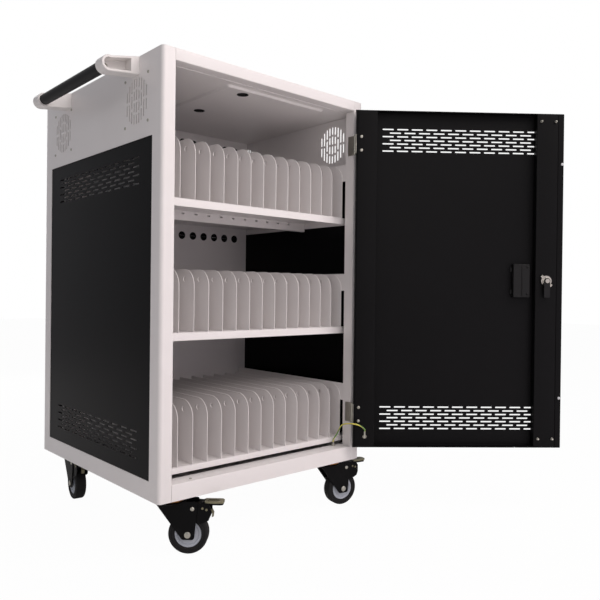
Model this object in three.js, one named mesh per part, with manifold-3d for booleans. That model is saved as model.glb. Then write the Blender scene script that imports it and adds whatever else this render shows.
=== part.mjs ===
// Laptop charging cart: a sheet-steel cabinet on four braked swivel casters.
// Millimetres, +Z up. X runs left to right along the front, Y runs from front to back.
// The front door is modelled shut, then swung open by DOOR_OPEN about its hinge pins.

import * as THREE from 'three';
import Module from 'manifold-3d';
import { mergeVertices } from 'three/addons/utils/BufferGeometryUtils.js';

const wasm = await Module();
wasm.setup();

// Driving dimensions: the cabinet
const BODY_W = 616;
const BODY_D = 646;
const BODY_H = 970;
const CASTER_H = 130;
const SHEET = 1.5;
const EDGE_R = 9;
const STILE = 32;
const RETURN = 30;
const TOP_RAIL = 26;
const SILL = 37;
const LEDGE = 42;
const SEAM = 0.3;
const OVERCUT = 1;
const OPENING_W = BODY_W - 2 * STILE;
const FLOOR = SHEET;
const ROOF = BODY_H - SHEET;

// Vent panels and fan grilles of the two sides
const WINDOW_Y0 = 41;
const WINDOW_REAR = 44;
const WINDOW_Z0 = 41;
const WINDOW_HEAD = 183;
const WINDOW_Z1 = BODY_H - WINDOW_HEAD;
const WINDOW_LAP = 8;
const SLOT_COUNT = 11;
const SLOT_ROWS = 7;
const SLOT_ROW_PITCH = 9.7;
const SIDE_SLOT_PITCH = 41;
const SIDE_SLOT_L = 33;
const SLOT_W = 4.6;
const SLOT_BAND_INSET = 52;
const GRILLE_R = 54;
const GRILLE_DROP = 96;
const GRILLE_Z = BODY_H - GRILLE_DROP;
const GRILLE_FRONT_Y = 113;
const GRILLE_REAR_INSET = 124;
const GRILLE_PITCH = 15;
const GRILLE_SLOT_W = 6;
const GRILLE_RIB = 7;

// Inside the cabinet
const PARTITION_Y = 515;
const CEILING_Z = BODY_H - TOP_RAIL - SHEET;
const FIRST_DECK = 58;
const HEADROOM = 284.5;
const TIERS = ['lower', 'middle', 'upper'];
const TIER = (CEILING_Z - HEADROOM - FIRST_DECK) / (TIERS.length - 1);
const TRAY_LIP = 17;
const TRAY_SETBACK = 12;
const TRAY_Y0 = RETURN + TRAY_SETBACK;
const BAYS = 14;
const BAY_PITCH = (OPENING_W + SHEET) / BAYS;
const PLATE = 1.2;
const PLATE_H = 145;
const PLATE_D = 380;
const PLATE_R = 40;
const PLATE_HOLE_R = 6;
const PLATE_HOLE_Y = 40;
const PLATE_HOLE_DROP = 23;
const RACK_RAIL_Z = 100;
const RACK_RAIL_H = 46;
const RACK_RAIL_Y0 = 8;
const CABLE_HOLE_R = 12;
const CABLE_HOLE_DROP = 34;
const CEILING_HOLE_R = 13;
const EMBOSS = 3;
const EMBOSS_X0 = 203;
const EMBOSS_X1 = 518;
const EMBOSS_MARGIN = 18;

// Rear compartment
const STRIP_W = 44;
const STRIP_D = 40;
const STRIP_H = 700;
const STRIP_X = 130;
const STRIP_Z = 120;
const BOX_W = 160;
const BOX_D = 52;
const BOX_H = 190;
const BOX_DROP = 90;
const BOX_Z = BODY_H - BOX_DROP - BOX_H;
const ROCKER_W = 22;
const ROCKER_H = 30;
const ROCKER_D = 9;
const ROCKER_TILT = 8;
const ROCKER_PIN_R = 1.5;
const INLET_W = 48;
const INLET_H = 28;
const INLET_D = 14;

// Fans
const FAN_SIZE = 120;
const FAN_D = 25;
const FAN_BORE_R = 56;
const FAN_HUB_R = 21;
const FAN_SHAFT_R = 3;
const FAN_BLADES = 7;
const FAN_BLADE_T = 2;
const FAN_BLADE_W = 15;
const FAN_BLADE_TURN = 40;
const FAN_MOUNT_T = 4;
const FAN_STRUT_W = 6;
const FAN_TIP_GAP = 2;

// Front door
const DOOR_T = 22;
const DOOR_GAP = 3;
const DOOR_GAP_Z = 6;
const DOOR_OPEN = 140;
const DOOR_X0 = STILE + DOOR_GAP;
const DOOR_X1 = BODY_W - STILE - DOOR_GAP;
const DOOR_Z0 = SILL + DOOR_GAP_Z;
const DOOR_Z1 = BODY_H - TOP_RAIL - DOOR_GAP_Z;
const STIFF_HINGE_W = 56;
const STIFF_LOCK_W = 60;
const DOOR_LIP = 24;
const DOOR_RIM = 7.5;
const DOOR_LIP_GAP = 2;
const DOOR_SLOT_PITCH = 38.2;
const DOOR_SLOT_L = 30.5;
const DOOR_BAND_INSET = 42.5;
const DOOR_BAND_SHIFT = 14;
const CUP_W = 45;
const CUP_H = 90;
const CUP_D = 17;
const CUP_WALL = 2;
const CUP_RIM = 4;
const CUP_RIM_T = 1.5;
const CUP_INSET = 95;
const LOCK_INSET = 32;
const LOCK_R = 9.5;
const LOCK_HEAD_R = 13;
const LOCK_HEAD_T = 3;
const LOCK_NUT_R = 14;
const LOCK_NUT_T = 4;
const LOCK_STUD_R = 4;
const CAM_W = 16;
const CAM_T = 2.5;
const CAM_HEAD_R = 6;
const CAM_HEAD_T = 3;
const CAM_CLEAR = 1;
const CAM_LAP = 8;
const CAM_Y = RETURN + CAM_CLEAR;
const LATCH_Z = 490;

// Hinges of the front door
const KNUCKLE_R = 4;
const PIN_R = 2;
const PIN_CLEAR = 0.4;
const LEAF_T = 1.2;
const LEAF_D = 20;
const HINGE_H = 52;
const HINGE_INSET = 62;
const HINGE_X = BODY_W - STILE - DOOR_GAP / 3;
const HINGE_Y = -KNUCKLE_R - SEAM;

// Rear door
const PIVOT_IN = 9;
const PIVOT_INSET = 6;
const PIVOT_Y = BODY_D - PIVOT_INSET;
const PIVOT_R = 3;

// Handle on the left side
const GRIP_R = 13.3;
const GRIP_X = -70;
const GRIP_DROP = 31;
const GRIP_Z = BODY_H - GRIP_DROP;
const BRACKET_END_R = 17.5;
const BRACKET_W = 35;
const BRACKET_FOOT = 40;
const BRACKET_FLARE = 14;
const BRACKET_FOOT_T = 6;
const BRACKET_WALL = 5;
const BRACKET_FRONT_Y = 100;
const BRACKET_REAR_INSET = 141;

// Earth lead between the sill and the front door
const STUD_X_INSET = 64;
const STUD_Y = 34;
const STUD_R = 3;
const STUD_H = 10;
const TAG_R = 5.5;
const TAG_T = 2;
const LEAD_R = 1.75;
const LEAD_STEP_COUNT = 20;
const LEAD_SIDES = 8;
const RING_INSET = 30;
const RING_Z = 70;
const RING_R = 5;
const RING_T = 1.2;
const CRIMP_R = 2.6;
const CRIMP_L = 9;

// Casters: swivel axis at the local origin, wheel trailing along local +X,
// heights measured down from the underside of the base
const CASTER_X = 64;
const CASTER_Y = 54;
const CASTER_PLATE_X = 96;
const CASTER_PLATE_Y = 80;
const CASTER_PLATE_T = 3;
const RACE_R = 27;
const RACE_H = 9;
const KINGPIN_R = 6;
const CROWN_R = 33;
const CROWN_T = 5;
const CROWN_TOP = CASTER_PLATE_T + RACE_H + SEAM;
const TRAIL = 40;
const TYRE_R = 44.5;
const TYRE_W = 28;
const TYRE_ROUND = 5;
const HUB_R = 30;
const HUB_W = 24;
const AXLE_R = 4;
const AXLE_HEAD_R = 7;
const AXLE_HEAD_T = 3;
const LEG_T = 2.5;
const LEG_GAP = 2;
const LEG_END_W = 30;
const LEG_TOE = 11;
const LEG_CORNER_R = 6;
const LEG_BACK = 31;
const LEG_FRONT = 60;
const AXLE_DROP = CASTER_H - TYRE_R;
const PEDAL_PIN_X = 50;
const PEDAL_PIN_DROP = 28;
const PEDAL_PIN_R = 3;
const PEDAL_TIP = 119;
const PEDAL_TOP = 13;
const PEDAL_T = 9;
const PEDAL_W = 26;
const PEDAL_BOSS_R = 6.5;
const PEDAL_PAD_X = 60;
const PEDAL_PAD_CLEAR = 3.9;
const PEDAL_CORNER_R = 9;
const PEDAL_SLOT_X = 84;
const PEDAL_SLOT_L = 22;
const PEDAL_SLOT_W = 6;
const SWIVEL = { front_left: -43, front_right: -12, rear_left: -97, rear_right: 150 };

// Facets of round forms
const WHEEL_SIDES = 20;
const ROUND = 16;
const COARSE = 10;
const SMALL = 8;
const HOLE_SIDES = 6;
const BEND_STEPS = 3;

// Materials
function finish(color, roughness, metalness) {
  return new THREE.MeshStandardMaterial({ color, roughness, metalness });
}
const WHITE_PAINT = finish('#e6e1df', 0.55, 0.0);
const BLACK_PAINT = finish('#1a1a1c', 0.5, 0.0);
const BLACK_GLOSS = finish('#121315', 0.25, 0.0);
const WHITE_PLASTIC = finish('#e9e6e4', 0.45, 0.0);
const BLACK_PLASTIC = finish('#161617', 0.6, 0.0);
const GREY_PLASTIC = finish('#9b9d9c', 0.5, 0.0);
const RED_PLASTIC = finish('#b3261e', 0.4, 0.0);
const RUBBER = finish('#1b1b1b', 0.85, 0.0);
const ZINC = finish('#b8b7b0', 0.35, 0.9);
const CHROME = finish('#d4d5d6', 0.18, 1.0);
const YELLOW_GREEN = finish('#b9c52c', 0.5, 0.0);

// Building blocks
function solid(geometry) {
  geometry.deleteAttribute('normal');
  geometry.deleteAttribute('uv');
  const merged = mergeVertices(geometry, 1e-4);
  const vertProperties = new Float32Array(merged.attributes.position.array);
  const triVerts = new Uint32Array(merged.index.array);
  return new wasm.Manifold(new wasm.Mesh({ numProp: 3, vertProperties, triVerts }));
}

function box(x0, x1, y0, y1, z0, z1) {
  const g = new THREE.BoxGeometry(x1 - x0, y1 - y0, z1 - z0);
  g.translate((x0 + x1) / 2, (y0 + y1) / 2, (z0 + z1) / 2);
  return solid(g);
}

// A flat outline drawn out along X (outline in Y, Z), Y (X, Z) or Z (X, Y), holes cut through
function prism(axis, outline, from, to, holes = []) {
  const shape = new THREE.Shape(outline.map(([a, b]) => new THREE.Vector2(a, b)));
  const g = new THREE.ExtrudeGeometry(shape, { depth: to - from, bevelEnabled: false });
  const m = new THREE.Matrix4();
  if (axis === 'x') m.set(0, 0, 1, from, 1, 0, 0, 0, 0, 1, 0, 0, 0, 0, 0, 1);
  if (axis === 'y') m.set(1, 0, 0, 0, 0, 0, -1, to, 0, 1, 0, 0, 0, 0, 0, 1);
  if (axis === 'z') m.set(1, 0, 0, 0, 0, 1, 0, 0, 0, 0, 1, from, 0, 0, 0, 1);
  g.applyMatrix4(m);
  const through = holes.map((hole) => prism(axis, hole, from - OVERCUT, to + OVERCUT));
  return through.reduce((left, hole) => left.subtract(hole), solid(g));
}

function arc(a, b, r, fromDeg, toDeg, steps) {
  const points = [];
  for (let i = 0; i <= steps; i += 1) {
    const t = THREE.MathUtils.degToRad(fromDeg + (toDeg - fromDeg) * i / steps);
    points.push([a + r * Math.cos(t), b + r * Math.sin(t)]);
  }
  return points;
}

function ring(a, b, r, sides) {
  return arc(a, b, r, 0, 360 - 360 / sides, sides - 1);
}

function rod(axis, a, b, r, from, to, sides = ROUND) {
  return prism(axis, ring(a, b, r, sides), from, to);
}

function rect(a0, a1, b0, b1) {
  return [[a0, b0], [a1, b0], [a1, b1], [a0, b1]];
}

function roundRect(a0, a1, b0, b1, r) {
  return [
    ...arc(a1 - r, b0 + r, r, -90, 0, BEND_STEPS),
    ...arc(a1 - r, b1 - r, r, 0, 90, BEND_STEPS),
    ...arc(a0 + r, b1 - r, r, 90, 180, BEND_STEPS),
    ...arc(a0 + r, b0 + r, r, 180, 270, BEND_STEPS),
  ];
}

function join(first, ...rest) {
  return rest.reduce((sum, next) => sum.add(next), first);
}

function cut(first, ...rest) {
  return rest.reduce((left, next) => left.subtract(next), first);
}

// Staggered rows of slots centred on a; alternate rows hold one slot less
function slotBand(a, bottom, pitch, length) {
  const slots = [];
  for (let row = 0; row < SLOT_ROWS; row += 1) {
    const count = SLOT_COUNT - row % 2;
    const b = bottom + row * SLOT_ROW_PITCH;
    for (let i = 0; i < count; i += 1) {
      const mid = a + (i - (count - 1) / 2) * pitch;
      slots.push(rect(mid - length / 2, mid + length / 2, b, b + SLOT_W));
    }
  }
  return slots;
}
const SLOT_BAND_H = (SLOT_ROWS - 1) * SLOT_ROW_PITCH + SLOT_W;

const cart = new THREE.Group();
cart.name = 'laptop_charging_cart';

function piece(name, form, material, matrix = null) {
  const data = form.getMesh();
  const g = new THREE.BufferGeometry();
  g.setAttribute('position', new THREE.BufferAttribute(new Float32Array(data.vertProperties), 3));
  g.setIndex(new THREE.BufferAttribute(new Uint32Array(data.triVerts), 1));
  if (matrix) g.applyMatrix4(matrix);
  g.translate(0, 0, CASTER_H);
  g.computeVertexNormals();
  const mesh = new THREE.Mesh(g, material);
  mesh.name = name;
  cart.add(mesh);
}

// Side sheets: bent channels with a stile and a return at the front and at the rear
const inner = EDGE_R - SHEET;
const SIDE_PROFILE = [
  [STILE, RETURN], [STILE, 0],
  ...arc(EDGE_R, EDGE_R, EDGE_R, 270, 180, BEND_STEPS),
  ...arc(EDGE_R, BODY_D - EDGE_R, EDGE_R, 180, 90, BEND_STEPS),
  [STILE, BODY_D], [STILE, BODY_D - RETURN],
  [STILE - SHEET, BODY_D - RETURN], [STILE - SHEET, BODY_D - SHEET],
  ...arc(EDGE_R, BODY_D - EDGE_R, inner, 90, 180, BEND_STEPS),
  ...arc(EDGE_R, EDGE_R, inner, 180, 270, BEND_STEPS),
  [STILE - SHEET, SHEET], [STILE - SHEET, RETURN],
];
const WINDOW_Y1 = BODY_D - WINDOW_REAR;
const GRILLE_REAR_Y = BODY_D - GRILLE_REAR_INSET;

// Vertical slots of a round grille, split by one level rib
function grilleSlots(y, x0, x1) {
  const slots = [];
  const columns = Math.floor((GRILLE_R - GRILLE_SLOT_W) / GRILLE_PITCH);
  for (let i = -columns; i <= columns; i += 1) {
    const a = y + i * GRILLE_PITCH;
    const reach = Math.sqrt(GRILLE_R ** 2 - (i * GRILLE_PITCH) ** 2);
    const w = GRILLE_SLOT_W / 2;
    slots.push(box(x0, x1, a - w, a + w, GRILLE_Z + GRILLE_RIB / 2, GRILLE_Z + reach));
    slots.push(box(x0, x1, a - w, a + w, GRILLE_Z - reach, GRILLE_Z - GRILLE_RIB / 2));
  }
  return slots;
}

function sideSheet(mirrored) {
  const at = (x) => (mirrored ? BODY_W - x : x);
  const profile = SIDE_PROFILE.map(([x, y]) => [at(x), y]);
  const x0 = Math.min(at(-SHEET), at(2 * SHEET));
  const x1 = Math.max(at(-SHEET), at(2 * SHEET));
  return cut(
    prism('z', profile, FLOOR, ROOF),
    box(x0, x1, WINDOW_Y0, WINDOW_Y1, WINDOW_Z0, WINDOW_Z1),
    ...grilleSlots(GRILLE_FRONT_Y, x0, x1),
    ...grilleSlots(GRILLE_REAR_Y, x0, x1),
  );
}
piece('side_left', sideSheet(false), WHITE_PAINT);
piece('side_right', sideSheet(true), WHITE_PAINT);

// Vent panels: black sheets behind the side windows, a slot band above and below
const WINDOW_MID_Y = (WINDOW_Y0 + WINDOW_Y1) / 2;
function ventPanel(x0) {
  const outline = rect(
    WINDOW_Y0 - WINDOW_LAP, WINDOW_Y1 + WINDOW_LAP,
    WINDOW_Z0 - WINDOW_LAP, WINDOW_Z1 + WINDOW_LAP,
  );
  const low = WINDOW_Z0 + SLOT_BAND_INSET;
  const high = WINDOW_Z1 - SLOT_BAND_INSET - SLOT_BAND_H;
  return prism('x', outline, x0, x0 + SHEET, [
    ...slotBand(WINDOW_MID_Y, low, SIDE_SLOT_PITCH, SIDE_SLOT_L),
    ...slotBand(WINDOW_MID_Y, high, SIDE_SLOT_PITCH, SIDE_SLOT_L),
  ]);
}
piece('vent_panel_left', ventPanel(SHEET), BLACK_GLOSS);
piece('vent_panel_right', ventPanel(BODY_W - 2 * SHEET), BLACK_GLOSS);

// Base pan and top cover: full plates with the front and rear cross rails on them
const RAIL_X0 = STILE + SEAM;
const RAIL_X1 = BODY_W - STILE - SEAM;
const FOOTPRINT = roundRect(0, BODY_W, 0, BODY_D, EDGE_R);
const PIVOT_X = DOOR_X0 + PIVOT_IN;
const pivotHole = rod('z', PIVOT_X, PIVOT_Y, PIVOT_R + PIN_CLEAR, -CASTER_H, 2 * BODY_H, COARSE);
const rearRails = (z0, z1, ledge0, ledge1) => cut(
  join(
    box(RAIL_X0, RAIL_X1, BODY_D - SHEET, BODY_D, z0, z1),
    box(RAIL_X0, RAIL_X1, BODY_D - RETURN, BODY_D, ledge0, ledge1),
  ),
  pivotHole,
);
piece('base_pan', join(
  prism('z', FOOTPRINT, 0, SHEET),
  box(RAIL_X0, RAIL_X1, 0, SHEET, 0, SILL),
  box(RAIL_X0, RAIL_X1, 0, LEDGE, SILL - SHEET, SILL),
  rearRails(0, SILL, SILL - SHEET, SILL),
), WHITE_PAINT);
piece('top_cover', join(
  prism('z', FOOTPRINT, ROOF, BODY_H),
  box(RAIL_X0, RAIL_X1, 0, SHEET, BODY_H - TOP_RAIL, BODY_H),
  box(RAIL_X0, RAIL_X1, 0, RETURN, BODY_H - TOP_RAIL, BODY_H - TOP_RAIL + SHEET),
  rearRails(BODY_H - TOP_RAIL, BODY_H, BODY_H - TOP_RAIL, BODY_H - TOP_RAIL + SHEET),
), WHITE_PAINT);

// Ceiling: a lining sheet under the top cover with an embossed field and two holes
const EMBOSS_Y0 = RETURN + EMBOSS_MARGIN;
const EMBOSS_Y1 = PARTITION_Y - EMBOSS_MARGIN;
const ceilingHole = (x, y) => rod('z', x, y, CEILING_HOLE_R, 0, BODY_H, COARSE);
const CEILING_HOLE_X = EMBOSS_X0 + 5 * CEILING_HOLE_R;
piece('ceiling_panel', cut(
  join(
    box(SHEET, BODY_W - SHEET, RETURN + SEAM, BODY_D - RETURN - SEAM, CEILING_Z, CEILING_Z + SHEET),
    box(EMBOSS_X0, EMBOSS_X1, EMBOSS_Y0, EMBOSS_Y1, CEILING_Z - EMBOSS, CEILING_Z + SHEET / 2),
  ),
  ceilingHole(CEILING_HOLE_X, EMBOSS_Y0 + EMBOSS_MARGIN + CEILING_HOLE_R),
  ceilingHole(CEILING_HOLE_X, (EMBOSS_Y0 + EMBOSS_Y1) / 2),
), WHITE_PAINT);

// Partition between the bays and the power compartment, with a cable hole at every bay
const BAY_X0 = STILE - SHEET / 2;
const DECKS = TIERS.map((_, i) => FIRST_DECK + i * TIER);
const cableHoles = [];
for (const deck of DECKS) {
  const z = Math.min(deck + TIER, CEILING_Z) - CABLE_HOLE_DROP;
  for (let i = 0; i < BAYS; i += 1) {
    cableHoles.push(ring(BAY_X0 + (i + 0.5) * BAY_PITCH, z, CABLE_HOLE_R, HOLE_SIDES));
  }
}
const NOTCH_Z = GRILLE_Z - FAN_SIZE / 2 - SEAM;
const NOTCH_X = SHEET + FAN_D + SEAM;
piece('partition', prism('y', [
  [2 * SHEET, FLOOR], [BODY_W - 2 * SHEET, FLOOR], [BODY_W - 2 * SHEET, CEILING_Z],
  [NOTCH_X, CEILING_Z], [NOTCH_X, NOTCH_Z], [2 * SHEET, NOTCH_Z],
], PARTITION_Y, PARTITION_Y + SHEET, cableHoles), WHITE_PAINT);

// Trays: folded down on all four edges, hung between the sides and the partition
function tray(deck) {
  const x0 = 2 * SHEET;
  const x1 = BODY_W - 2 * SHEET;
  return cut(
    box(x0, x1, TRAY_Y0, PARTITION_Y, deck - TRAY_LIP, deck),
    box(x0 + SHEET, x1 - SHEET, TRAY_Y0 + SHEET, PARTITION_Y - SHEET, deck - 2 * TRAY_LIP, deck - SHEET),
  );
}

// Divider racks: upright plates on a base sheet, with a side rail tying each end plate
// to the front return and to the partition
function rack(deck) {
  const top = deck + PLATE_H;
  const y1 = TRAY_Y0 + PLATE_D;
  const outline = [
    [y1, top], [y1, deck], [TRAY_Y0, deck],
    ...arc(TRAY_Y0 + PLATE_R, top - PLATE_R, PLATE_R, 180, 90, BEND_STEPS + 1),
  ];
  const hole = ring(TRAY_Y0 + PLATE_HOLE_Y, top - PLATE_HOLE_DROP, PLATE_HOLE_R, HOLE_SIDES);
  const parts = [];
  for (let i = 0; i <= BAYS; i += 1) {
    const x = BAY_X0 + i * BAY_PITCH;
    const ends = i === 0 || i === BAYS;
    parts.push(prism('x', outline, x - PLATE / 2, x + PLATE / 2, ends ? [hole] : []));
  }
  const rail0 = deck + RACK_RAIL_Z;
  const rail1 = rail0 + RACK_RAIL_H;
  const outside = STILE - SHEET;
  for (const at of [(x) => x, (x) => BODY_W - x]) {
    const xs = [at(outside - SHEET), at(outside)].sort((a, b) => a - b);
    const ties = [at(outside - SHEET), at(BAY_X0)].sort((a, b) => a - b);
    parts.push(box(xs[0], xs[1], RACK_RAIL_Y0, PARTITION_Y, rail0, rail1));
    parts.push(box(ties[0], ties[1], TRAY_Y0 + PLATE_R, y1 - PLATE_R, rail0, top - PLATE));
  }
  return join(box(BAY_X0, BODY_W - BAY_X0, TRAY_Y0, y1, deck, deck + PLATE), ...parts);
}
TIERS.forEach((tier, i) => {
  piece(`tray_${tier}`, tray(DECKS[i]), WHITE_PAINT);
  piece(`divider_rack_${tier}`, rack(DECKS[i]), WHITE_PAINT);
});

// Power strips on the rear of the partition
const REAR_FACE = PARTITION_Y + SHEET;
function strip(x) {
  return box(x - STRIP_W / 2, x + STRIP_W / 2, REAR_FACE, REAR_FACE + STRIP_D, STRIP_Z, STRIP_Z + STRIP_H);
}
piece('power_strip_left', strip(STRIP_X), WHITE_PLASTIC);
piece('power_strip_right', strip(BODY_W - STRIP_X), WHITE_PLASTIC);

// Control box with an inlet and a pocket for the rocker of the main switch
const BOX_X0 = (BODY_W - BOX_W) / 2;
const BOX_FACE = REAR_FACE + BOX_D;
const ROCKER_X = BODY_W / 2;
const ROCKER_Z = BOX_Z + BOX_H * 0.7;
const INLET_Z = BOX_Z + BOX_H * 0.3;
const POCKET = ROCKER_D + 8 * SEAM;
const ROCKER_PIN_Y = BOX_FACE - ROCKER_D / 2;
const ROCKER_SIDE = ROCKER_W / 2 + 2 * SEAM;
const ROCKER_END = ROCKER_H / 2 + 4 * SEAM;
const PIN_BITE = 3;
piece('control_box', cut(
  box(BOX_X0, BOX_X0 + BOX_W, REAR_FACE, BOX_FACE, BOX_Z, BOX_Z + BOX_H),
  box(ROCKER_X - ROCKER_SIDE, ROCKER_X + ROCKER_SIDE, BOX_FACE - POCKET, BOX_FACE + SHEET,
    ROCKER_Z - ROCKER_END, ROCKER_Z + ROCKER_END),
  rod('x', ROCKER_PIN_Y, ROCKER_Z, ROCKER_PIN_R + PIN_CLEAR,
    ROCKER_X - ROCKER_SIDE - PIN_BITE - SEAM, ROCKER_X + ROCKER_SIDE + PIN_BITE + SEAM, ROUND),
  box(ROCKER_X - INLET_W / 2, ROCKER_X + INLET_W / 2, BOX_FACE - INLET_D, BOX_FACE + SHEET,
    INLET_Z - INLET_H / 2, INLET_Z + INLET_H / 2),
), GREY_PLASTIC);
const tip = new THREE.Matrix4().makeTranslation(0, ROCKER_PIN_Y, ROCKER_Z)
  .multiply(new THREE.Matrix4().makeRotationX(THREE.MathUtils.degToRad(-ROCKER_TILT)))
  .multiply(new THREE.Matrix4().makeTranslation(0, -ROCKER_PIN_Y, -ROCKER_Z));
const rockerRise = Math.tan(THREE.MathUtils.degToRad(ROCKER_TILT)) * ROCKER_H / 2;
piece('power_switch', join(
  prism('x', [
    [BOX_FACE - ROCKER_D + rockerRise, ROCKER_Z - ROCKER_H / 2],
    [BOX_FACE + rockerRise, ROCKER_Z - ROCKER_H / 2],
    [BOX_FACE, ROCKER_Z],
    [BOX_FACE + rockerRise, ROCKER_Z + ROCKER_H / 2],
    [BOX_FACE - ROCKER_D + rockerRise, ROCKER_Z + ROCKER_H / 2],
    [BOX_FACE - ROCKER_D, ROCKER_Z],
  ], ROCKER_X - ROCKER_W / 2, ROCKER_X + ROCKER_W / 2),
  rod('x', ROCKER_PIN_Y, ROCKER_Z, ROCKER_PIN_R,
    ROCKER_X - ROCKER_SIDE - PIN_BITE, ROCKER_X + ROCKER_SIDE + PIN_BITE, COARSE),
), RED_PLASTIC, tip);

// Fans behind the grilles of the left side
const FAN_X1 = SHEET + FAN_D;
const MOUNT_X0 = FAN_X1 - FAN_MOUNT_T;
function fanFrame(y) {
  const half = FAN_SIZE / 2;
  const strut = FAN_STRUT_W / 2;
  const reach = FAN_BORE_R + OVERCUT;
  return cut(
    join(
      prism('x', rect(y - half, y + half, GRILLE_Z - half, GRILLE_Z + half), SHEET, FAN_X1,
        [ring(y, GRILLE_Z, FAN_BORE_R, ROUND)]),
      rod('x', y, GRILLE_Z, FAN_HUB_R, MOUNT_X0, FAN_X1, ROUND),
      box(MOUNT_X0, FAN_X1, y - reach, y + reach, GRILLE_Z - strut, GRILLE_Z + strut),
      box(MOUNT_X0, FAN_X1, y - strut, y + strut, GRILLE_Z - reach, GRILLE_Z + reach),
    ),
    rod('x', y, GRILLE_Z, FAN_SHAFT_R + PIN_CLEAR, 0, FAN_X1 + OVERCUT, COARSE),
  );
}
function fanRotor(y) {
  const x0 = SHEET + 2 * FAN_TIP_GAP;
  const x1 = MOUNT_X0 - FAN_TIP_GAP;
  const mid = (x0 + x1) / 2;
  const tip = FAN_BORE_R - FAN_TIP_GAP;
  const root = FAN_HUB_R - FAN_TIP_GAP;
  const parts = [rod('x', y, GRILLE_Z, FAN_SHAFT_R, mid, FAN_X1, COARSE)];
  for (let i = 0; i < FAN_BLADES; i += 1) {
    const g = new THREE.BoxGeometry(FAN_BLADE_T, FAN_BLADE_W, tip - root);
    g.rotateZ(THREE.MathUtils.degToRad(FAN_BLADE_TURN));
    g.translate(0, 0, (tip + root) / 2);
    g.rotateX(2 * Math.PI * i / FAN_BLADES);
    g.translate(mid, y, GRILLE_Z);
    parts.push(solid(g));
  }
  const swept = join(rod('x', y, GRILLE_Z, FAN_HUB_R, x0, x1, ROUND), ...parts);
  const inside = rod('x', y, GRILLE_Z, tip, x0, FAN_X1, 2 * ROUND);
  return swept.intersect(inside);
}
piece('fan_frame_front', fanFrame(GRILLE_FRONT_Y), BLACK_PLASTIC);
piece('fan_frame_rear', fanFrame(GRILLE_REAR_Y), BLACK_PLASTIC);
piece('fan_rotor_front', fanRotor(GRILLE_FRONT_Y), BLACK_PLASTIC);
piece('fan_rotor_rear', fanRotor(GRILLE_REAR_Y), BLACK_PLASTIC);

// Push handle: two hollow moulded brackets and a round grip between them
const GRIP_Y0 = BRACKET_FRONT_Y + BRACKET_W;
const GRIP_Y1 = BODY_D - BRACKET_REAR_INSET - BRACKET_W;
function bracketOutline(inset) {
  const r = BRACKET_END_R - inset;
  return [
    [-inset, BODY_H - BRACKET_FOOT + inset], [-inset, BODY_H - inset],
    ...arc(GRIP_X, GRIP_Z, r, 75, 270, 3 * BEND_STEPS),
  ];
}
function bracket(y0, openFront) {
  const y1 = y0 + BRACKET_W;
  const pocket0 = openFront ? y0 - BRACKET_WALL : y0 + BRACKET_WALL;
  const pocket1 = openFront ? y1 - BRACKET_WALL : y1 + BRACKET_WALL;
  const foot = BODY_H - BRACKET_FOOT;
  return cut(
    join(
      prism('y', bracketOutline(0), y0, y1),
      box(-BRACKET_FOOT_T, 0, y0 - BRACKET_FLARE, y1 + BRACKET_FLARE, foot, BODY_H),
    ),
    prism('y', bracketOutline(BRACKET_WALL), pocket0, pocket1),
  );
}
piece('handle_bracket_front', bracket(BRACKET_FRONT_Y, true), WHITE_PLASTIC);
piece('handle_bracket_rear', bracket(GRIP_Y1, false), WHITE_PLASTIC);
piece('handle_grip', rod('y', GRIP_X, GRIP_Z, GRIP_R, GRIP_Y0, GRIP_Y1), BLACK_PLASTIC);

// Front door, modelled shut and then swung open
const swing = new THREE.Matrix4().makeTranslation(HINGE_X, HINGE_Y, 0)
  .multiply(new THREE.Matrix4().makeRotationZ(THREE.MathUtils.degToRad(DOOR_OPEN)))
  .multiply(new THREE.Matrix4().makeTranslation(-HINGE_X, -HINGE_Y, 0));
const DOOR_MID_X = (DOOR_X0 + DOOR_X1 + STIFF_LOCK_W - STIFF_HINGE_W) / 2 - DOOR_BAND_SHIFT;
const LOCK_X = DOOR_X0 + LOCK_INSET;
const CUP_X = DOOR_X0 + CUP_INSET;
const CUP_HALF_W = CUP_W / 2;
const CUP_HALF_H = CUP_H / 2;
const HOLE_CLEAR = 2 * SEAM;

// A folded pan: a skin with a flange along each edge, open on one face
function doorPan(y0, y1, hollow0, hollow1, holes) {
  return cut(
    box(DOOR_X0, DOOR_X1, y0, y1, DOOR_Z0, DOOR_Z1),
    box(DOOR_X0 + SHEET, DOOR_X1 - SHEET, hollow0, hollow1, DOOR_Z0 + SHEET, DOOR_Z1 - SHEET),
    ...holes.map((hole) => prism('y', hole, y0 - OVERCUT, y1 + OVERCUT)),
  );
}
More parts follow.
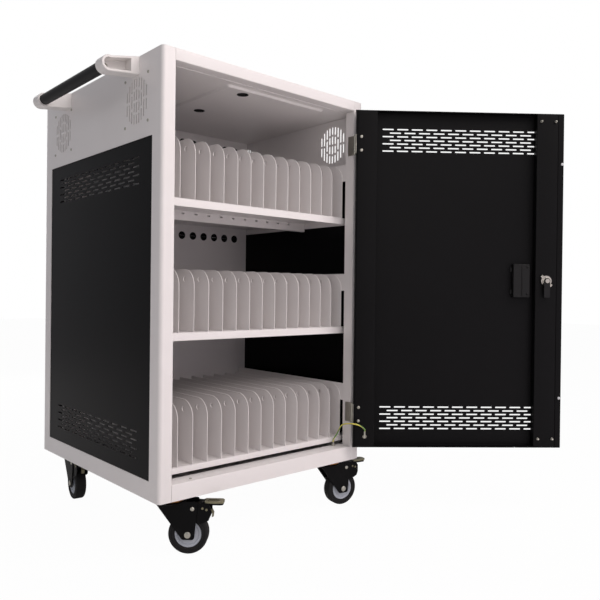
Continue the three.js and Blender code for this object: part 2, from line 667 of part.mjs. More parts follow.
// A joggled rim round the front pan laps the left stile, the sill and the top rail
const LIP_Y0 = -DOOR_LIP_GAP - SHEET;
const PAN_INSIDE = rect(DOOR_X0 + SHEET, 2 * BODY_W, DOOR_Z0 + SHEET, DOOR_Z1 - SHEET);
const doorRim = join(
  prism('y', rect(DOOR_X0 - DOOR_LIP, DOOR_X1, DOOR_Z0 - DOOR_RIM, DOOR_Z1 + DOOR_RIM),
    LIP_Y0, -DOOR_LIP_GAP, [PAN_INSIDE]),
  prism('y', rect(DOOR_X0, DOOR_X1, DOOR_Z0, DOOR_Z1), LIP_Y0, SHEET, [PAN_INSIDE]),
);
piece('door_panel', join(
  doorPan(0, DOOR_T, SHEET, 2 * DOOR_T, [
    ...slotBand(DOOR_MID_X, DOOR_Z0 + DOOR_BAND_INSET, DOOR_SLOT_PITCH, DOOR_SLOT_L),
    ...slotBand(DOOR_MID_X, DOOR_Z1 - DOOR_BAND_INSET - SLOT_BAND_H, DOOR_SLOT_PITCH, DOOR_SLOT_L),
    rect(CUP_X - CUP_HALF_W - SEAM, CUP_X + CUP_HALF_W + SEAM,
      LATCH_Z - CUP_HALF_H - SEAM, LATCH_Z + CUP_HALF_H + SEAM),
    ring(LOCK_X, LATCH_Z, LOCK_R + HOLE_CLEAR, COARSE),
  ]),
  doorRim,
), BLACK_PAINT, swing);

// Stiffening channels inside the two upright edges of the door
function channel(x0, x1, holes) {
  const y0 = SHEET + SEAM;
  const z0 = DOOR_Z0 + SHEET + SEAM;
  const z1 = DOOR_Z1 - SHEET - SEAM;
  return cut(
    box(x0, x1, y0, DOOR_T, z0, z1),
    box(x0 + SHEET, x1 - SHEET, 0, DOOR_T - SHEET, z0 - OVERCUT, z1 + OVERCUT),
    ...holes.map((hole) => prism('y', hole, y0, 2 * DOOR_T)),
  );
}
const FLANGE_IN = SHEET + SEAM;
piece('door_stiffener_hinge', channel(
  DOOR_X1 - STIFF_HINGE_W, DOOR_X1 - FLANGE_IN, [],
), BLACK_PAINT, swing);
piece('door_stiffener_lock', channel(
  DOOR_X0 + FLANGE_IN, DOOR_X0 + STIFF_LOCK_W,
  [ring(LOCK_X, LATCH_Z, LOCK_R + HOLE_CLEAR, COARSE)],
), BLACK_PAINT, swing);

// Pull cup: a recessed finger box with a rim on the outer face
piece('pull_cup', cut(
  join(
    box(CUP_X - CUP_HALF_W, CUP_X + CUP_HALF_W, -SEAM - CUP_RIM_T / 2, CUP_D,
      LATCH_Z - CUP_HALF_H, LATCH_Z + CUP_HALF_H),
    box(CUP_X - CUP_HALF_W - CUP_RIM, CUP_X + CUP_HALF_W + CUP_RIM, -SEAM - CUP_RIM_T, -SEAM,
      LATCH_Z - CUP_HALF_H - CUP_RIM, LATCH_Z + CUP_HALF_H + CUP_RIM),
  ),
  box(CUP_X - CUP_HALF_W + CUP_WALL, CUP_X + CUP_HALF_W - CUP_WALL, -CUP_D, CUP_D - CUP_WALL,
    LATCH_Z - CUP_HALF_H + CUP_WALL, LATCH_Z + CUP_HALF_H - CUP_WALL),
), BLACK_PLASTIC, swing);

// Cam lock: body through the door, nut inside, cam turning on the stud of the body
const NUT_Y = DOOR_T + SEAM;
const lockRod = (r, y0, y1, sides) => rod('y', LOCK_X, LATCH_Z, r, y0, y1, sides);
piece('lock_body', join(
  lockRod(LOCK_HEAD_R, -SEAM - LOCK_HEAD_T, -SEAM, COARSE),
  lockRod(LOCK_R, -SEAM - LOCK_HEAD_T / 2, CAM_Y - SEAM, COARSE),
  lockRod(LOCK_NUT_R, NUT_Y, NUT_Y + LOCK_NUT_T, 6),
  lockRod(LOCK_STUD_R, LOCK_R, CAM_Y + CAM_T + CAM_HEAD_T, SMALL),
  lockRod(CAM_HEAD_R, CAM_Y + CAM_T + SEAM, CAM_Y + CAM_T + CAM_HEAD_T, SMALL),
), CHROME, swing);
const CAM_L = LOCK_X - STILE + SHEET + CAM_LAP;
piece('lock_cam', prism('y', [
  ...arc(LOCK_X, LATCH_Z, CAM_W / 2, 0, 180, 2 * BEND_STEPS),
  [LOCK_X - CAM_W / 2, LATCH_Z - CAM_L], [LOCK_X + CAM_W / 2, LATCH_Z - CAM_L],
], CAM_Y, CAM_Y + CAM_T, [ring(LOCK_X, LATCH_Z, LOCK_STUD_R + PIN_CLEAR, COARSE)]), ZINC, swing);

// Butt hinges: leaf and pin on the return of the right side, knuckle on the door edge
const HINGE_THIRD = HINGE_H / 3;
function hingeFrame(z0) {
  const x1 = BODY_W - STILE;
  const z1 = z0 + HINGE_H;
  const free = KNUCKLE_R + SEAM;
  return join(
    cut(
      join(
        box(x1 - LEAF_T, x1, HINGE_Y, LEAF_D, z0, z1),
        rod('z', HINGE_X, HINGE_Y, KNUCKLE_R, z0, z1, COARSE),
      ),
      box(HINGE_X - free, HINGE_X + free, HINGE_Y - free, HINGE_Y + free,
        z0 + HINGE_THIRD - SEAM, z1 - HINGE_THIRD + SEAM),
    ),
    rod('z', HINGE_X, HINGE_Y, PIN_R, z0, z1, COARSE),
  );
}
function hingeDoor(z0) {
  const x0 = DOOR_X1 + SEAM;
  const z1 = z0 + HINGE_H;
  const free = KNUCKLE_R + SEAM;
  const around = (a, b) => box(HINGE_X - free, HINGE_X + free, HINGE_Y - free, HINGE_Y + free, a, b);
  return cut(
    join(
      box(x0, x0 + LEAF_T, HINGE_Y, LEAF_D, z0, z1),
      rod('z', HINGE_X, HINGE_Y, KNUCKLE_R, z0 + HINGE_THIRD, z1 - HINGE_THIRD, COARSE),
    ),
    around(z0 - OVERCUT, z0 + HINGE_THIRD),
    around(z1 - HINGE_THIRD, z1 + OVERCUT),
    rod('z', HINGE_X, HINGE_Y, PIN_R + PIN_CLEAR, z0 - OVERCUT, z1 + OVERCUT, COARSE),
  );
}
const HINGE_LOW = DOOR_Z0 + HINGE_INSET - SHEET;
const HINGE_HIGH = DOOR_Z1 - HINGE_INSET - HINGE_H;
piece('hinge_leaf_lower', hingeFrame(HINGE_LOW), ZINC);
piece('hinge_leaf_upper', hingeFrame(HINGE_HIGH), ZINC);
piece('hinge_knuckle_lower', hingeDoor(HINGE_LOW), ZINC, swing);
piece('hinge_knuckle_upper', hingeDoor(HINGE_HIGH), ZINC, swing);

// Rear door: a shut pan on two pivot pins in the rear rails, with its own cam lock
const REAR_LOCK_X = DOOR_X1 - LOCK_INSET;
const REAR_CAM_Y = BODY_D - CAM_Y - CAM_T;
const REAR_HOLES = [];
for (const z of [DOOR_Z0 + SLOT_BAND_INSET, DOOR_Z1 - SLOT_BAND_INSET - SLOT_W]) {
  for (let i = 0; i < SLOT_COUNT; i += 2) {
    const x = BODY_W / 2 + (i - (SLOT_COUNT - 1) / 2) * DOOR_SLOT_PITCH;
    REAR_HOLES.push(rect(x - DOOR_SLOT_L / 2, x + DOOR_SLOT_L / 2, z, z + SLOT_W));
  }
}
REAR_HOLES.push(ring(REAR_LOCK_X, LATCH_Z, LOCK_R + PIN_CLEAR, ROUND));
const pivotPin = (z0, z1) => rod('z', PIVOT_X, PIVOT_Y, PIVOT_R, z0, z1, COARSE);
piece('rear_door_panel', join(
  doorPan(BODY_D - DOOR_T, BODY_D, BODY_D - 2 * DOOR_T, BODY_D - SHEET, REAR_HOLES),
  pivotPin(DOOR_Z0 - DOOR_GAP_Z - SHEET, DOOR_Z0 + DOOR_T),
  pivotPin(DOOR_Z1 - DOOR_T, DOOR_Z1 + DOOR_GAP_Z + SHEET),
  box(DOOR_X0, PIVOT_X + DOOR_GAP_Z, BODY_D - DOOR_T, BODY_D, DOOR_Z0, DOOR_Z0 + DOOR_T),
  box(DOOR_X0, PIVOT_X + DOOR_GAP_Z, BODY_D - DOOR_T, BODY_D, DOOR_Z1 - DOOR_T, DOOR_Z1),
), WHITE_PAINT);
const rearRod = (r, y0, y1) => rod('y', REAR_LOCK_X, LATCH_Z, r, y0, y1);
piece('rear_lock_cam', join(
  rearRod(LOCK_R, REAR_CAM_Y, BODY_D + SEAM + LOCK_HEAD_T),
  rearRod(LOCK_HEAD_R, BODY_D + SEAM, BODY_D + SEAM + LOCK_HEAD_T),
  prism('y', [
    ...arc(REAR_LOCK_X, LATCH_Z, LOCK_R, 0, 180, 2 * BEND_STEPS),
    [REAR_LOCK_X - LOCK_R, LATCH_Z - CAM_L], [REAR_LOCK_X + LOCK_R, LATCH_Z - CAM_L],
  ], REAR_CAM_Y, REAR_CAM_Y + CAM_T),
), CHROME);

// Earth bond: stud on the sill ledge, ring terminal on the door, arched lead between
const STUD_X = BODY_W - STUD_X_INSET;
piece('earth_stud', join(
  rod('z', STUD_X, STUD_Y, TAG_R, SILL, SILL + TAG_T, COARSE),
  rod('z', STUD_X, STUD_Y, STUD_R, SILL, SILL + STUD_H, COARSE),
), ZINC);
const RING_X = DOOR_X1 - RING_INSET;
const RING_Y = DOOR_T + SEAM;
const CRIMP_Y = RING_Y + CRIMP_R;
const RING_TOP = RING_Z + RING_R + CRIMP_L;
piece('ring_terminal', join(
  rod('y', RING_X, RING_Z, RING_R, RING_Y, RING_Y + RING_T, COARSE),
  rod('z', RING_X, CRIMP_Y, CRIMP_R, RING_Z + RING_R / 2, RING_TOP, COARSE),
), ZINC, swing);

// The lead leaves the stud upwards, arches past the door edge and drops into the crimp
const onDoor = (x, y, z) => new THREE.Vector3(x, y, z).applyMatrix4(swing);
const LEAD_CURVE = new THREE.CatmullRomCurve3([
  new THREE.Vector3(STUD_X, STUD_Y, SILL + STUD_H + SEAM),
  new THREE.Vector3(STUD_X, STUD_Y, SILL + STUD_H + 3 * LEAD_R),
  new THREE.Vector3(STUD_X + 2 * LEAD_R, STUD_Y - 6 * LEAD_R, SILL + STUD_H + 13 * LEAD_R),
  new THREE.Vector3(HINGE_X - 14 * LEAD_R, RETURN / 4, RING_TOP + 7 * LEAD_R),
  onDoor(DOOR_X1 - 0.5 * LEAD_R, DOOR_T + 5 * LEAD_R, RING_TOP + 12 * LEAD_R),
  onDoor(RING_X + 7 * LEAD_R, CRIMP_Y + 2.5 * LEAD_R, RING_TOP + 9 * LEAD_R),
  onDoor(RING_X, CRIMP_Y, RING_TOP + 3 * LEAD_R),
  onDoor(RING_X, CRIMP_Y, RING_TOP + SEAM),
], false, 'centripetal');
const leadGeometry = new THREE.ExtrudeGeometry(
  new THREE.Shape(ring(0, 0, LEAD_R, LEAD_SIDES).map(([a, b]) => new THREE.Vector2(a, b))),
  { steps: LEAD_STEP_COUNT, bevelEnabled: false, extrudePath: LEAD_CURVE },
);
piece('earth_lead', solid(leadGeometry), YELLOW_GREEN);

// Casters
function turned(profile) {
  return solid(new THREE.LatheGeometry(profile.map(([r, h]) => new THREE.Vector2(r, h)), WHEEL_SIDES));
}
const LEG_Y = TYRE_W / 2 + LEG_GAP;
const FORK_TOP = -CROWN_TOP;
const LEG_CORNER_Z = -AXLE_DROP - LEG_TOE + LEG_CORNER_R;
const LEG_OUTLINE = [
  [-LEG_BACK, FORK_TOP - CROWN_T], [-LEG_BACK, FORK_TOP],
  [LEG_FRONT, FORK_TOP], [LEG_FRONT, -PEDAL_PIN_DROP - 2 * PEDAL_PIN_R],
  ...arc(TRAIL + LEG_END_W / 2 - LEG_CORNER_R, LEG_CORNER_Z, LEG_CORNER_R, 0, -90, BEND_STEPS),
  ...arc(TRAIL - LEG_END_W / 2 + LEG_CORNER_R, LEG_CORNER_Z, LEG_CORNER_R, -90, -150, BEND_STEPS),
];
const PEDAL_Y = LEG_Y - SEAM;
const HALF_PEDAL = Math.min(PEDAL_W / 2, PEDAL_Y - SEAM);
const padZ = -AXLE_DROP + Math.sqrt(TYRE_R ** 2 - (PEDAL_PAD_X - TRAIL) ** 2) + PEDAL_PAD_CLEAR;

function casterFork() {
  const axle = (r, y0, y1) => rod('y', TRAIL, -AXLE_DROP, r, y0, y1, SMALL);
  const outer = LEG_Y + LEG_T;
  return cut(
    join(
      rod('z', 0, 0, CROWN_R, FORK_TOP - CROWN_T, FORK_TOP),
      box(-LEG_BACK, LEG_FRONT - 2 * PEDAL_W, -outer, outer, FORK_TOP - CROWN_T, FORK_TOP),
      prism('y', LEG_OUTLINE, LEG_Y, outer),
      prism('y', LEG_OUTLINE, -outer, -LEG_Y),
      axle(AXLE_R, -outer, outer),
      axle(AXLE_HEAD_R, outer - SEAM, outer + AXLE_HEAD_T),
      axle(AXLE_HEAD_R, -outer - AXLE_HEAD_T, -outer + SEAM),
      rod('y', PEDAL_PIN_X, -PEDAL_PIN_DROP, PEDAL_PIN_R, -outer, outer, SMALL),
    ),
    rod('z', 0, 0, KINGPIN_R + PIN_CLEAR, -AXLE_DROP, 0, COARSE),
  );
}

function casterPlate() {
  const x = CASTER_PLATE_X / 2;
  const y = CASTER_PLATE_Y / 2;
  const pinEnd = -CROWN_TOP - CROWN_T - CASTER_PLATE_T;
  return join(
    box(-x, x, -y, y, -CASTER_PLATE_T, 0),
    rod('z', 0, 0, RACE_R, -CASTER_PLATE_T - RACE_H, -CASTER_PLATE_T),
    rod('z', 0, 0, KINGPIN_R, pinEnd, -CASTER_PLATE_T, SMALL),
    rod('z', 0, 0, KINGPIN_R + CASTER_PLATE_T, pinEnd, -CROWN_TOP - CROWN_T - SEAM, SMALL),
  );
}

function casterHub() {
  const w = HUB_W / 2;
  const bore = AXLE_R + PIN_CLEAR;
  return turned([[bore, -w], [HUB_R, -w], [HUB_R, w], [bore, w], [bore, -w]]);
}

function casterTyre() {
  const w = TYRE_W / 2;
  const r0 = HUB_R + SEAM;
  return turned([
    [r0, -w], [TYRE_R - TYRE_ROUND, -w], [TYRE_R, -w + TYRE_ROUND], [TYRE_R, w - TYRE_ROUND],
    [TYRE_R - TYRE_ROUND, w], [r0, w], [r0, -w],
  ]);
}

// Brake pedal: a slotted lever between the fork legs, with a pad just above the tyre
const PEDAL_SIDE = HALF_PEDAL - PEDAL_CORNER_R;
const PEDAL_PLAN = [
  [0, -HALF_PEDAL], ...arc(PEDAL_TIP - PEDAL_CORNER_R, -PEDAL_SIDE, PEDAL_CORNER_R, -90, 0, BEND_STEPS),
  ...arc(PEDAL_TIP - PEDAL_CORNER_R, PEDAL_SIDE, PEDAL_CORNER_R, 0, 90, BEND_STEPS), [0, HALF_PEDAL],
];
function casterPedal() {
  const pin = -PEDAL_PIN_DROP;
  const tipR = PEDAL_T / 2;
  const tipZ = -PEDAL_TOP - tipR;
  const crownFree = CROWN_R + 2 * SEAM;
  return cut(
    join(
      prism('y', [
        ...arc(PEDAL_PIN_X, pin, PEDAL_BOSS_R, 130, 270, BEND_STEPS),
        [PEDAL_PAD_X - PEDAL_T / 2, padZ], [PEDAL_PAD_X + PEDAL_T / 2, padZ],
        [PEDAL_PAD_X + PEDAL_T, pin],
        ...arc(PEDAL_TIP - tipR, tipZ, tipR, -90, 90, BEND_STEPS),
      ], -HALF_PEDAL, HALF_PEDAL),
    ),
    rod('y', PEDAL_PIN_X, pin, PEDAL_PIN_R + PIN_CLEAR, -PEDAL_W, PEDAL_W, COARSE),
    rod('z', 0, 0, crownFree, -AXLE_DROP, 0),
    box(PEDAL_SLOT_X, PEDAL_SLOT_X + PEDAL_SLOT_L, -PEDAL_SLOT_W / 2, PEDAL_SLOT_W / 2, -AXLE_DROP, 0),
  ).intersect(prism('z', PEDAL_PLAN, -AXLE_DROP, 0));
}

const CORNERS = {
  front_left: [CASTER_X, CASTER_Y],
  front_right: [BODY_W - CASTER_X, CASTER_Y],
  rear_left: [CASTER_X, BODY_D - CASTER_Y],
  rear_right: [BODY_W - CASTER_X, BODY_D - CASTER_Y],
};
for (const [corner, [x, y]] of Object.entries(CORNERS)) {
  const still = new THREE.Matrix4().makeTranslation(x, y, 0);
  const turn = new THREE.Matrix4().makeRotationZ(THREE.MathUtils.degToRad(SWIVEL[corner]));
  const placed = still.clone().multiply(turn);
  const wheel = placed.clone().multiply(new THREE.Matrix4().makeTranslation(TRAIL, 0, -AXLE_DROP));
  piece(`caster_plate_${corner}`, casterPlate(), ZINC, still);
  piece(`caster_fork_${corner}`, casterFork(), BLACK_PAINT, placed);
  piece(`caster_hub_${corner}`, casterHub(), GREY_PLASTIC, wheel);
  piece(`caster_tyre_${corner}`, casterTyre(), RUBBER, wheel);
  piece(`caster_pedal_${corner}`, casterPedal(), ZINC, placed);
}

// The origin is the middle of the footprint of the whole object, lead left out
const bounds = new THREE.Box3();
for (const mesh of cart.children) {
  if (mesh.name === 'earth_lead') continue;
  mesh.geometry.computeBoundingBox();
  bounds.union(mesh.geometry.boundingBox);
}
const middle = bounds.getCenter(new THREE.Vector3());
for (const mesh of cart.children) mesh.geometry.translate(-middle.x, -middle.y, -bounds.min.z);

export default cart;
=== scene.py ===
"""Laptop charging cart: a white sheet-steel cabinet with black vented panels, an open
black front door, three tiers of divider racks and four braked swivel casters."""

import math

import bmesh
import bpy
from mathutils import Matrix, Vector
from mathutils.geometry import tessellate_polygon


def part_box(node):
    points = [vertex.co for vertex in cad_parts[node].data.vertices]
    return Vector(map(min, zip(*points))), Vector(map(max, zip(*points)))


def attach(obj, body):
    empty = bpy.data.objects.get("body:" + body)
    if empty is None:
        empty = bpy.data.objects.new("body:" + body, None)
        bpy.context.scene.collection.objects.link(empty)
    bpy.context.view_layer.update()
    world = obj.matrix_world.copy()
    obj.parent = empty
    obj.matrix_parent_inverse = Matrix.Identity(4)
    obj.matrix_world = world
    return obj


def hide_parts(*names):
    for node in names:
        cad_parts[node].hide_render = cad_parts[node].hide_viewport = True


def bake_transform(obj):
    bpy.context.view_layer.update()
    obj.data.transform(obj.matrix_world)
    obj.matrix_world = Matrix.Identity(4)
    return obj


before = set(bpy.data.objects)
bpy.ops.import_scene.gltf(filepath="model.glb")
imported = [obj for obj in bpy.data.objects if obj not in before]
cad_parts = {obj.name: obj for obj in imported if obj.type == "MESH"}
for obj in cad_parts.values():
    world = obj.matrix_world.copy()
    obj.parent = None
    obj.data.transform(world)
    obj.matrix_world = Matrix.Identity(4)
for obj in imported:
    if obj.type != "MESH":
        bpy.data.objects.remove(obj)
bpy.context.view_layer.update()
scene = bpy.context.scene

# Camera: stands in front of the cart and to its left, a little below mid height.
# Position and turn are those of the picture, in millimetres from the cabinet's
# front left bottom corner; the lens is worked out for a square frame of 600 px.
MM = 0.001
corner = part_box("base_pan")[0]
HOME = Matrix.Translation(corner) @ Matrix.Scale(MM, 4)
CAMERA_AT = (-688.4, -1204.0, 451.5)
CAMERA_YAW = math.radians(42.104)
CAMERA_PITCH = math.radians(-0.319)
CAMERA_ROLL = math.radians(0.644)
FRAME_PX = 600
FOCAL_PX = 645.3
CENTRE_PX = (301.5, 296.2)
SENSOR = 36.0
ahead = Vector((
    math.sin(CAMERA_YAW) * math.cos(CAMERA_PITCH),
    math.cos(CAMERA_YAW) * math.cos(CAMERA_PITCH),
    math.sin(CAMERA_PITCH),
))
level = ahead.cross(Vector((0, 0, 1))).normalized()
above = level.cross(ahead)
right = level * math.cos(CAMERA_ROLL) + above * math.sin(CAMERA_ROLL)
up = above * math.cos(CAMERA_ROLL) - level * math.sin(CAMERA_ROLL)
camera = bpy.data.objects.new("camera", bpy.data.cameras.new("camera"))
scene.collection.objects.link(camera)
camera.matrix_world = (
    Matrix.Translation(HOME @ Vector(CAMERA_AT))
    @ Matrix((right, up, -ahead)).transposed().to_4x4()
)
camera.data.sensor_width = SENSOR
camera.data.lens = FOCAL_PX / FRAME_PX * SENSOR
camera.data.shift_x = (FRAME_PX / 2 - CENTRE_PX[0]) / FRAME_PX
camera.data.shift_y = (CENTRE_PX[1] - FRAME_PX / 2) / FRAME_PX
scene.camera = camera
scene.view_settings.view_transform = "Standard"


def linear(code):
    """An sRGB hex colour as linear red, green, blue and alpha."""
    parts = [int(code[i:i + 2], 16) / 255 for i in (1, 3, 5)]
    return [c / 12.92 if c <= 0.04045 else ((c + 0.055) / 1.055) ** 2.4 for c in parts] + [1.0]


def add(tree, kind, links=None, **settings):
    """Adds a node; links gives sockets or values for its inputs, settings its own fields."""
    made = tree.nodes.new(kind)
    for name, value in settings.items():
        setattr(made, name, value)
    for name, value in (links or {}).items():
        if isinstance(value, bpy.types.NodeSocket):
            tree.links.new(value, made.inputs[name])
        else:
            made.inputs[name].default_value = value
    return made


# Studio: a pale floor that keeps the cart's shadow, a white surround for the eye and in
# part for reflections, soft lamps beside the camera, high up in front, at the right and
# behind, and two weak fills.
FLOOR_HALF = 12.0
FLOOR_WHITE = "#f4f2f0"
FLOOR_GLOW = 0.975
GLOSS_SHARE = 0.15
SURROUND, SURROUND_TINT = 0.3, "#f4f1f9"
LAMPS = {
    "key": ((-370, -1430, 1050), 0.9, 4.4, "#fff6f3"),
    "high": ((700, -1900, 2800), 2.0, 46.0, "#fff6f3"),
    "right": ((1700, -2000, 1600), 1.6, 10.0, "#fff6f3"),
    "low": ((600, -1300, 150), 1.2, 3.2, "#fbeef8"),
    "fill": ((-2600, -200, 1200), 2.2, 4.2, "#f0f8f4"),
    "back": ((900, 3000, 1500), 2.2, 30.0, "#fcfaf8"),
}
LAMP_AIM = (330, 250, 480)


def seen_white(tree):
    """How much of the bare white a ray meets: all for the eye, a share for reflections."""
    rays = add(tree, "ShaderNodeLightPath")
    clear = add(tree, "ShaderNodeMath", {
        0: rays.outputs["Is Camera Ray"], 1: rays.outputs["Is Transmission Ray"],
    }, operation="MAXIMUM")
    return add(tree, "ShaderNodeMath", {
        0: rays.outputs["Is Glossy Ray"], 1: GLOSS_SHARE, 2: clear.outputs[0],
    }, operation="MULTIPLY_ADD", use_clamp=True).outputs[0]


floor_mesh = bpy.data.meshes.new("floor")
floor_mesh.from_pydata(
    [(x * FLOOR_HALF, y * FLOOR_HALF, 0.0) for x, y in ((-1, -1), (1, -1), (1, 1), (-1, 1))],
    [], [(0, 1, 2, 3)],
)
floor = bpy.data.objects.new("floor", floor_mesh)
scene.collection.objects.link(floor)
paper = bpy.data.materials.new("studio_paper")
paper.use_nodes = True
tree = paper.node_tree
tree.nodes.clear()
seen = seen_white(tree)
share = add(tree, "ShaderNodeMath", {0: seen, 1: FLOOR_GLOW}, operation="MULTIPLY")
matt = add(tree, "ShaderNodeBsdfDiffuse", {"Color": linear(FLOOR_WHITE)})
glow = add(tree, "ShaderNodeEmission", {"Strength": 1.0})
both = add(tree, "ShaderNodeMixShader", {
    0: share.outputs[0], 1: matt.outputs[0], 2: glow.outputs[0],
})
add(tree, "ShaderNodeOutputMaterial", {"Surface": both.outputs[0]})
floor_mesh.materials.append(paper)

world = bpy.data.worlds.new("studio")
scene.world = world
world.use_nodes = True
tree = world.node_tree
tree.nodes.clear()
seen = seen_white(tree)
dim = add(tree, "ShaderNodeBackground", {"Color": linear(SURROUND_TINT), "Strength": SURROUND})
white = add(tree, "ShaderNodeBackground", {"Color": linear("#ffffff"), "Strength": 1.0})
both = add(tree, "ShaderNodeMixShader", {
    0: seen, 1: dim.outputs[0], 2: white.outputs[0],
})
add(tree, "ShaderNodeOutputWorld", {"Surface": both.outputs[0]})

for name, (place, size, power, tint) in LAMPS.items():
    lamp = bpy.data.lights.new(name, "AREA")
    lamp.size = size
    lamp.energy = power
    lamp.color = linear(tint)[:3]
    stand = bpy.data.objects.new(name, lamp)
    scene.collection.objects.link(stand)
    stand.location = HOME @ Vector(place)
    gaze = (HOME @ Vector(LAMP_AIM)) - stand.location
    stand.rotation_mode = "QUATERNION"
    stand.rotation_quaternion = gaze.to_track_quat("-Z", "Y")


# Earth lead: a short yellow-green PVC wire that bonds the door to the sill. It rises from
# the stud, arches past the hinge edge and drops into the crimp of the ring terminal.
HINGE = (583.0, -4.3)
DOOR_OPEN = math.radians(140)
SWING = (
    Matrix.Translation((*HINGE, 0)) @ Matrix.Rotation(DOOR_OPEN, 4, "Z")
    @ Matrix.Translation((-HINGE[0], -HINGE[1], 0))
)
LEAD_R, LEAD_SIDES, LEAD_STEPS = 1.75, 12, 12
LEAD_KNOTS = [Vector(p) for p in (
    (552.0, 34.0, 47.3), (552.0, 34.0, 52.25), (555.5, 23.5, 69.75), (558.5, 7.5, 96.25),
)] + [SWING @ Vector(p) for p in (
    (580.125, 30.75, 105.0), (563.25, 29.275, 99.75), (551.0, 24.9, 89.25), (551.0, 24.9, 84.3),
)]
LEAD_GREEN_SIDES, LEAD_TWIST = 4, 1.6
LEAD_YELLOW, LEAD_GREEN = "#d9cf3c", "#4f8a35"
LEAD_DUST, LEAD_DUST_SCALE, LEAD_ROUGH = 0.12, 180.0, 0.38


def lead_line():
    """Points of a centripetal Catmull-Rom line through the knots."""
    knots = [2 * LEAD_KNOTS[0] - LEAD_KNOTS[1], *LEAD_KNOTS, 2 * LEAD_KNOTS[-1] - LEAD_KNOTS[-2]]
    points = []
    for p0, p1, p2, p3 in zip(knots, knots[1:], knots[2:], knots[3:]):
        d0, d1, d2 = ((b - a).length ** 0.5 for a, b in ((p0, p1), (p1, p2), (p2, p3)))
        start = d1 * ((p1 - p0) / d0 - (p2 - p0) / (d0 + d1) + (p2 - p1) / d1)
        stop = d1 * ((p2 - p1) / d1 - (p3 - p1) / (d1 + d2) + (p3 - p2) / d2)
        for i in range(LEAD_STEPS):
            t = i / LEAD_STEPS
            points.append(
                p1 + start * t + (3 * (p2 - p1) - 2 * start - stop) * t ** 2
                + (2 * (p1 - p2) + start + stop) * t ** 3
            )
    return points + [LEAD_KNOTS[-1].copy()]


line = lead_line()
bm = bmesh.new()
stripe = bm.faces.layers.float.new("stripe")
side = Vector((1, 0, 0))
rings = []
for i, point in enumerate(line):
    along = (line[min(i + 1, len(line) - 1)] - line[max(i - 1, 0)]).normalized()
    side = (side - along * side.dot(along)).normalized()
    across = along.cross(side)
    turn = LEAD_TWIST * 2 * math.pi * i / len(line)
    rings.append([
        bm.verts.new(point + LEAD_R * (side * math.cos(a) + across * math.sin(a)))
        for a in (turn + 2 * math.pi * k / LEAD_SIDES for k in range(LEAD_SIDES))
    ])
for one, two in zip(rings, rings[1:]):
    for k in range(LEAD_SIDES):
        m = (k + 1) % LEAD_SIDES
        bm.faces.new((one[k], one[m], two[m], two[k]))[stripe] = float(k < LEAD_GREEN_SIDES)
bm.faces.new(list(reversed(rings[0])))
bm.faces.new(rings[-1])
bm.transform(HOME)
mesh = bpy.data.meshes.new("earth_wire")
bm.to_mesh(mesh)
bm.free()
mesh.shade_smooth()
# PVC insulation: yellow with a green stripe that winds slowly round, slightly glossy
pvc = bpy.data.materials.new("pvc_yellow_green")
pvc.use_nodes = True
tree = pvc.node_tree
mark = add(tree, "ShaderNodeAttribute", attribute_name="stripe")
where = add(tree, "ShaderNodeTexCoord").outputs["Object"]
dust = add(tree, "ShaderNodeTexNoise", {"Vector": where, "Scale": LEAD_DUST_SCALE, "Detail": 3.0})
band = add(tree, "ShaderNodeMix", {
    "Factor": mark.outputs["Fac"], 6: linear(LEAD_YELLOW), 7: linear(LEAD_GREEN),
}, data_type="RGBA")
worn = add(tree, "ShaderNodeMix", {
    "Factor": LEAD_DUST, 6: band.outputs[2], 7: dust.outputs["Color"],
}, data_type="RGBA")
shader = tree.nodes["Principled BSDF"]
tree.links.new(worn.outputs[2], shader.inputs["Base Color"])
shader.inputs["Roughness"].default_value = LEAD_ROUGH
mesh.materials.append(pvc)
earth_wire = bpy.data.objects.new("earth_wire", mesh)
scene.collection.objects.link(earth_wire)
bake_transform(earth_wire)
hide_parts("earth_lead")


# Cabinet sides: 1.5 mm sheet bent to a channel, with a stile and a return at the front
# and the rear, a window for the vent panel and two round grilles. Powder coated white.
BODY_W, BODY_D, BODY_H = 616.0, 646.0, 970.0
SHEET = 1.5
EDGE_R, EDGE_BREAK = 9.0, 0.8
STILE, RETURN = 32.0, 30.0
WINDOW, WINDOW_R = (41.0, 602.0, 41.0, 787.0), 2.0
GRILLE_R, GRILLE_Z = 52.0, 874.0
GRILLE_Y = (113.0, 522.0)
GRILLE_COLUMNS, GRILLE_PITCH, GRILLE_SLOT = 4, 11.0, 5.0
GRILLE_RING_R, GRILLE_RIB = 28.0, 4.6
BEND = 8
WELD, SLIVER, SMOOTH_BELOW = 0.002, 0.001, math.radians(32)


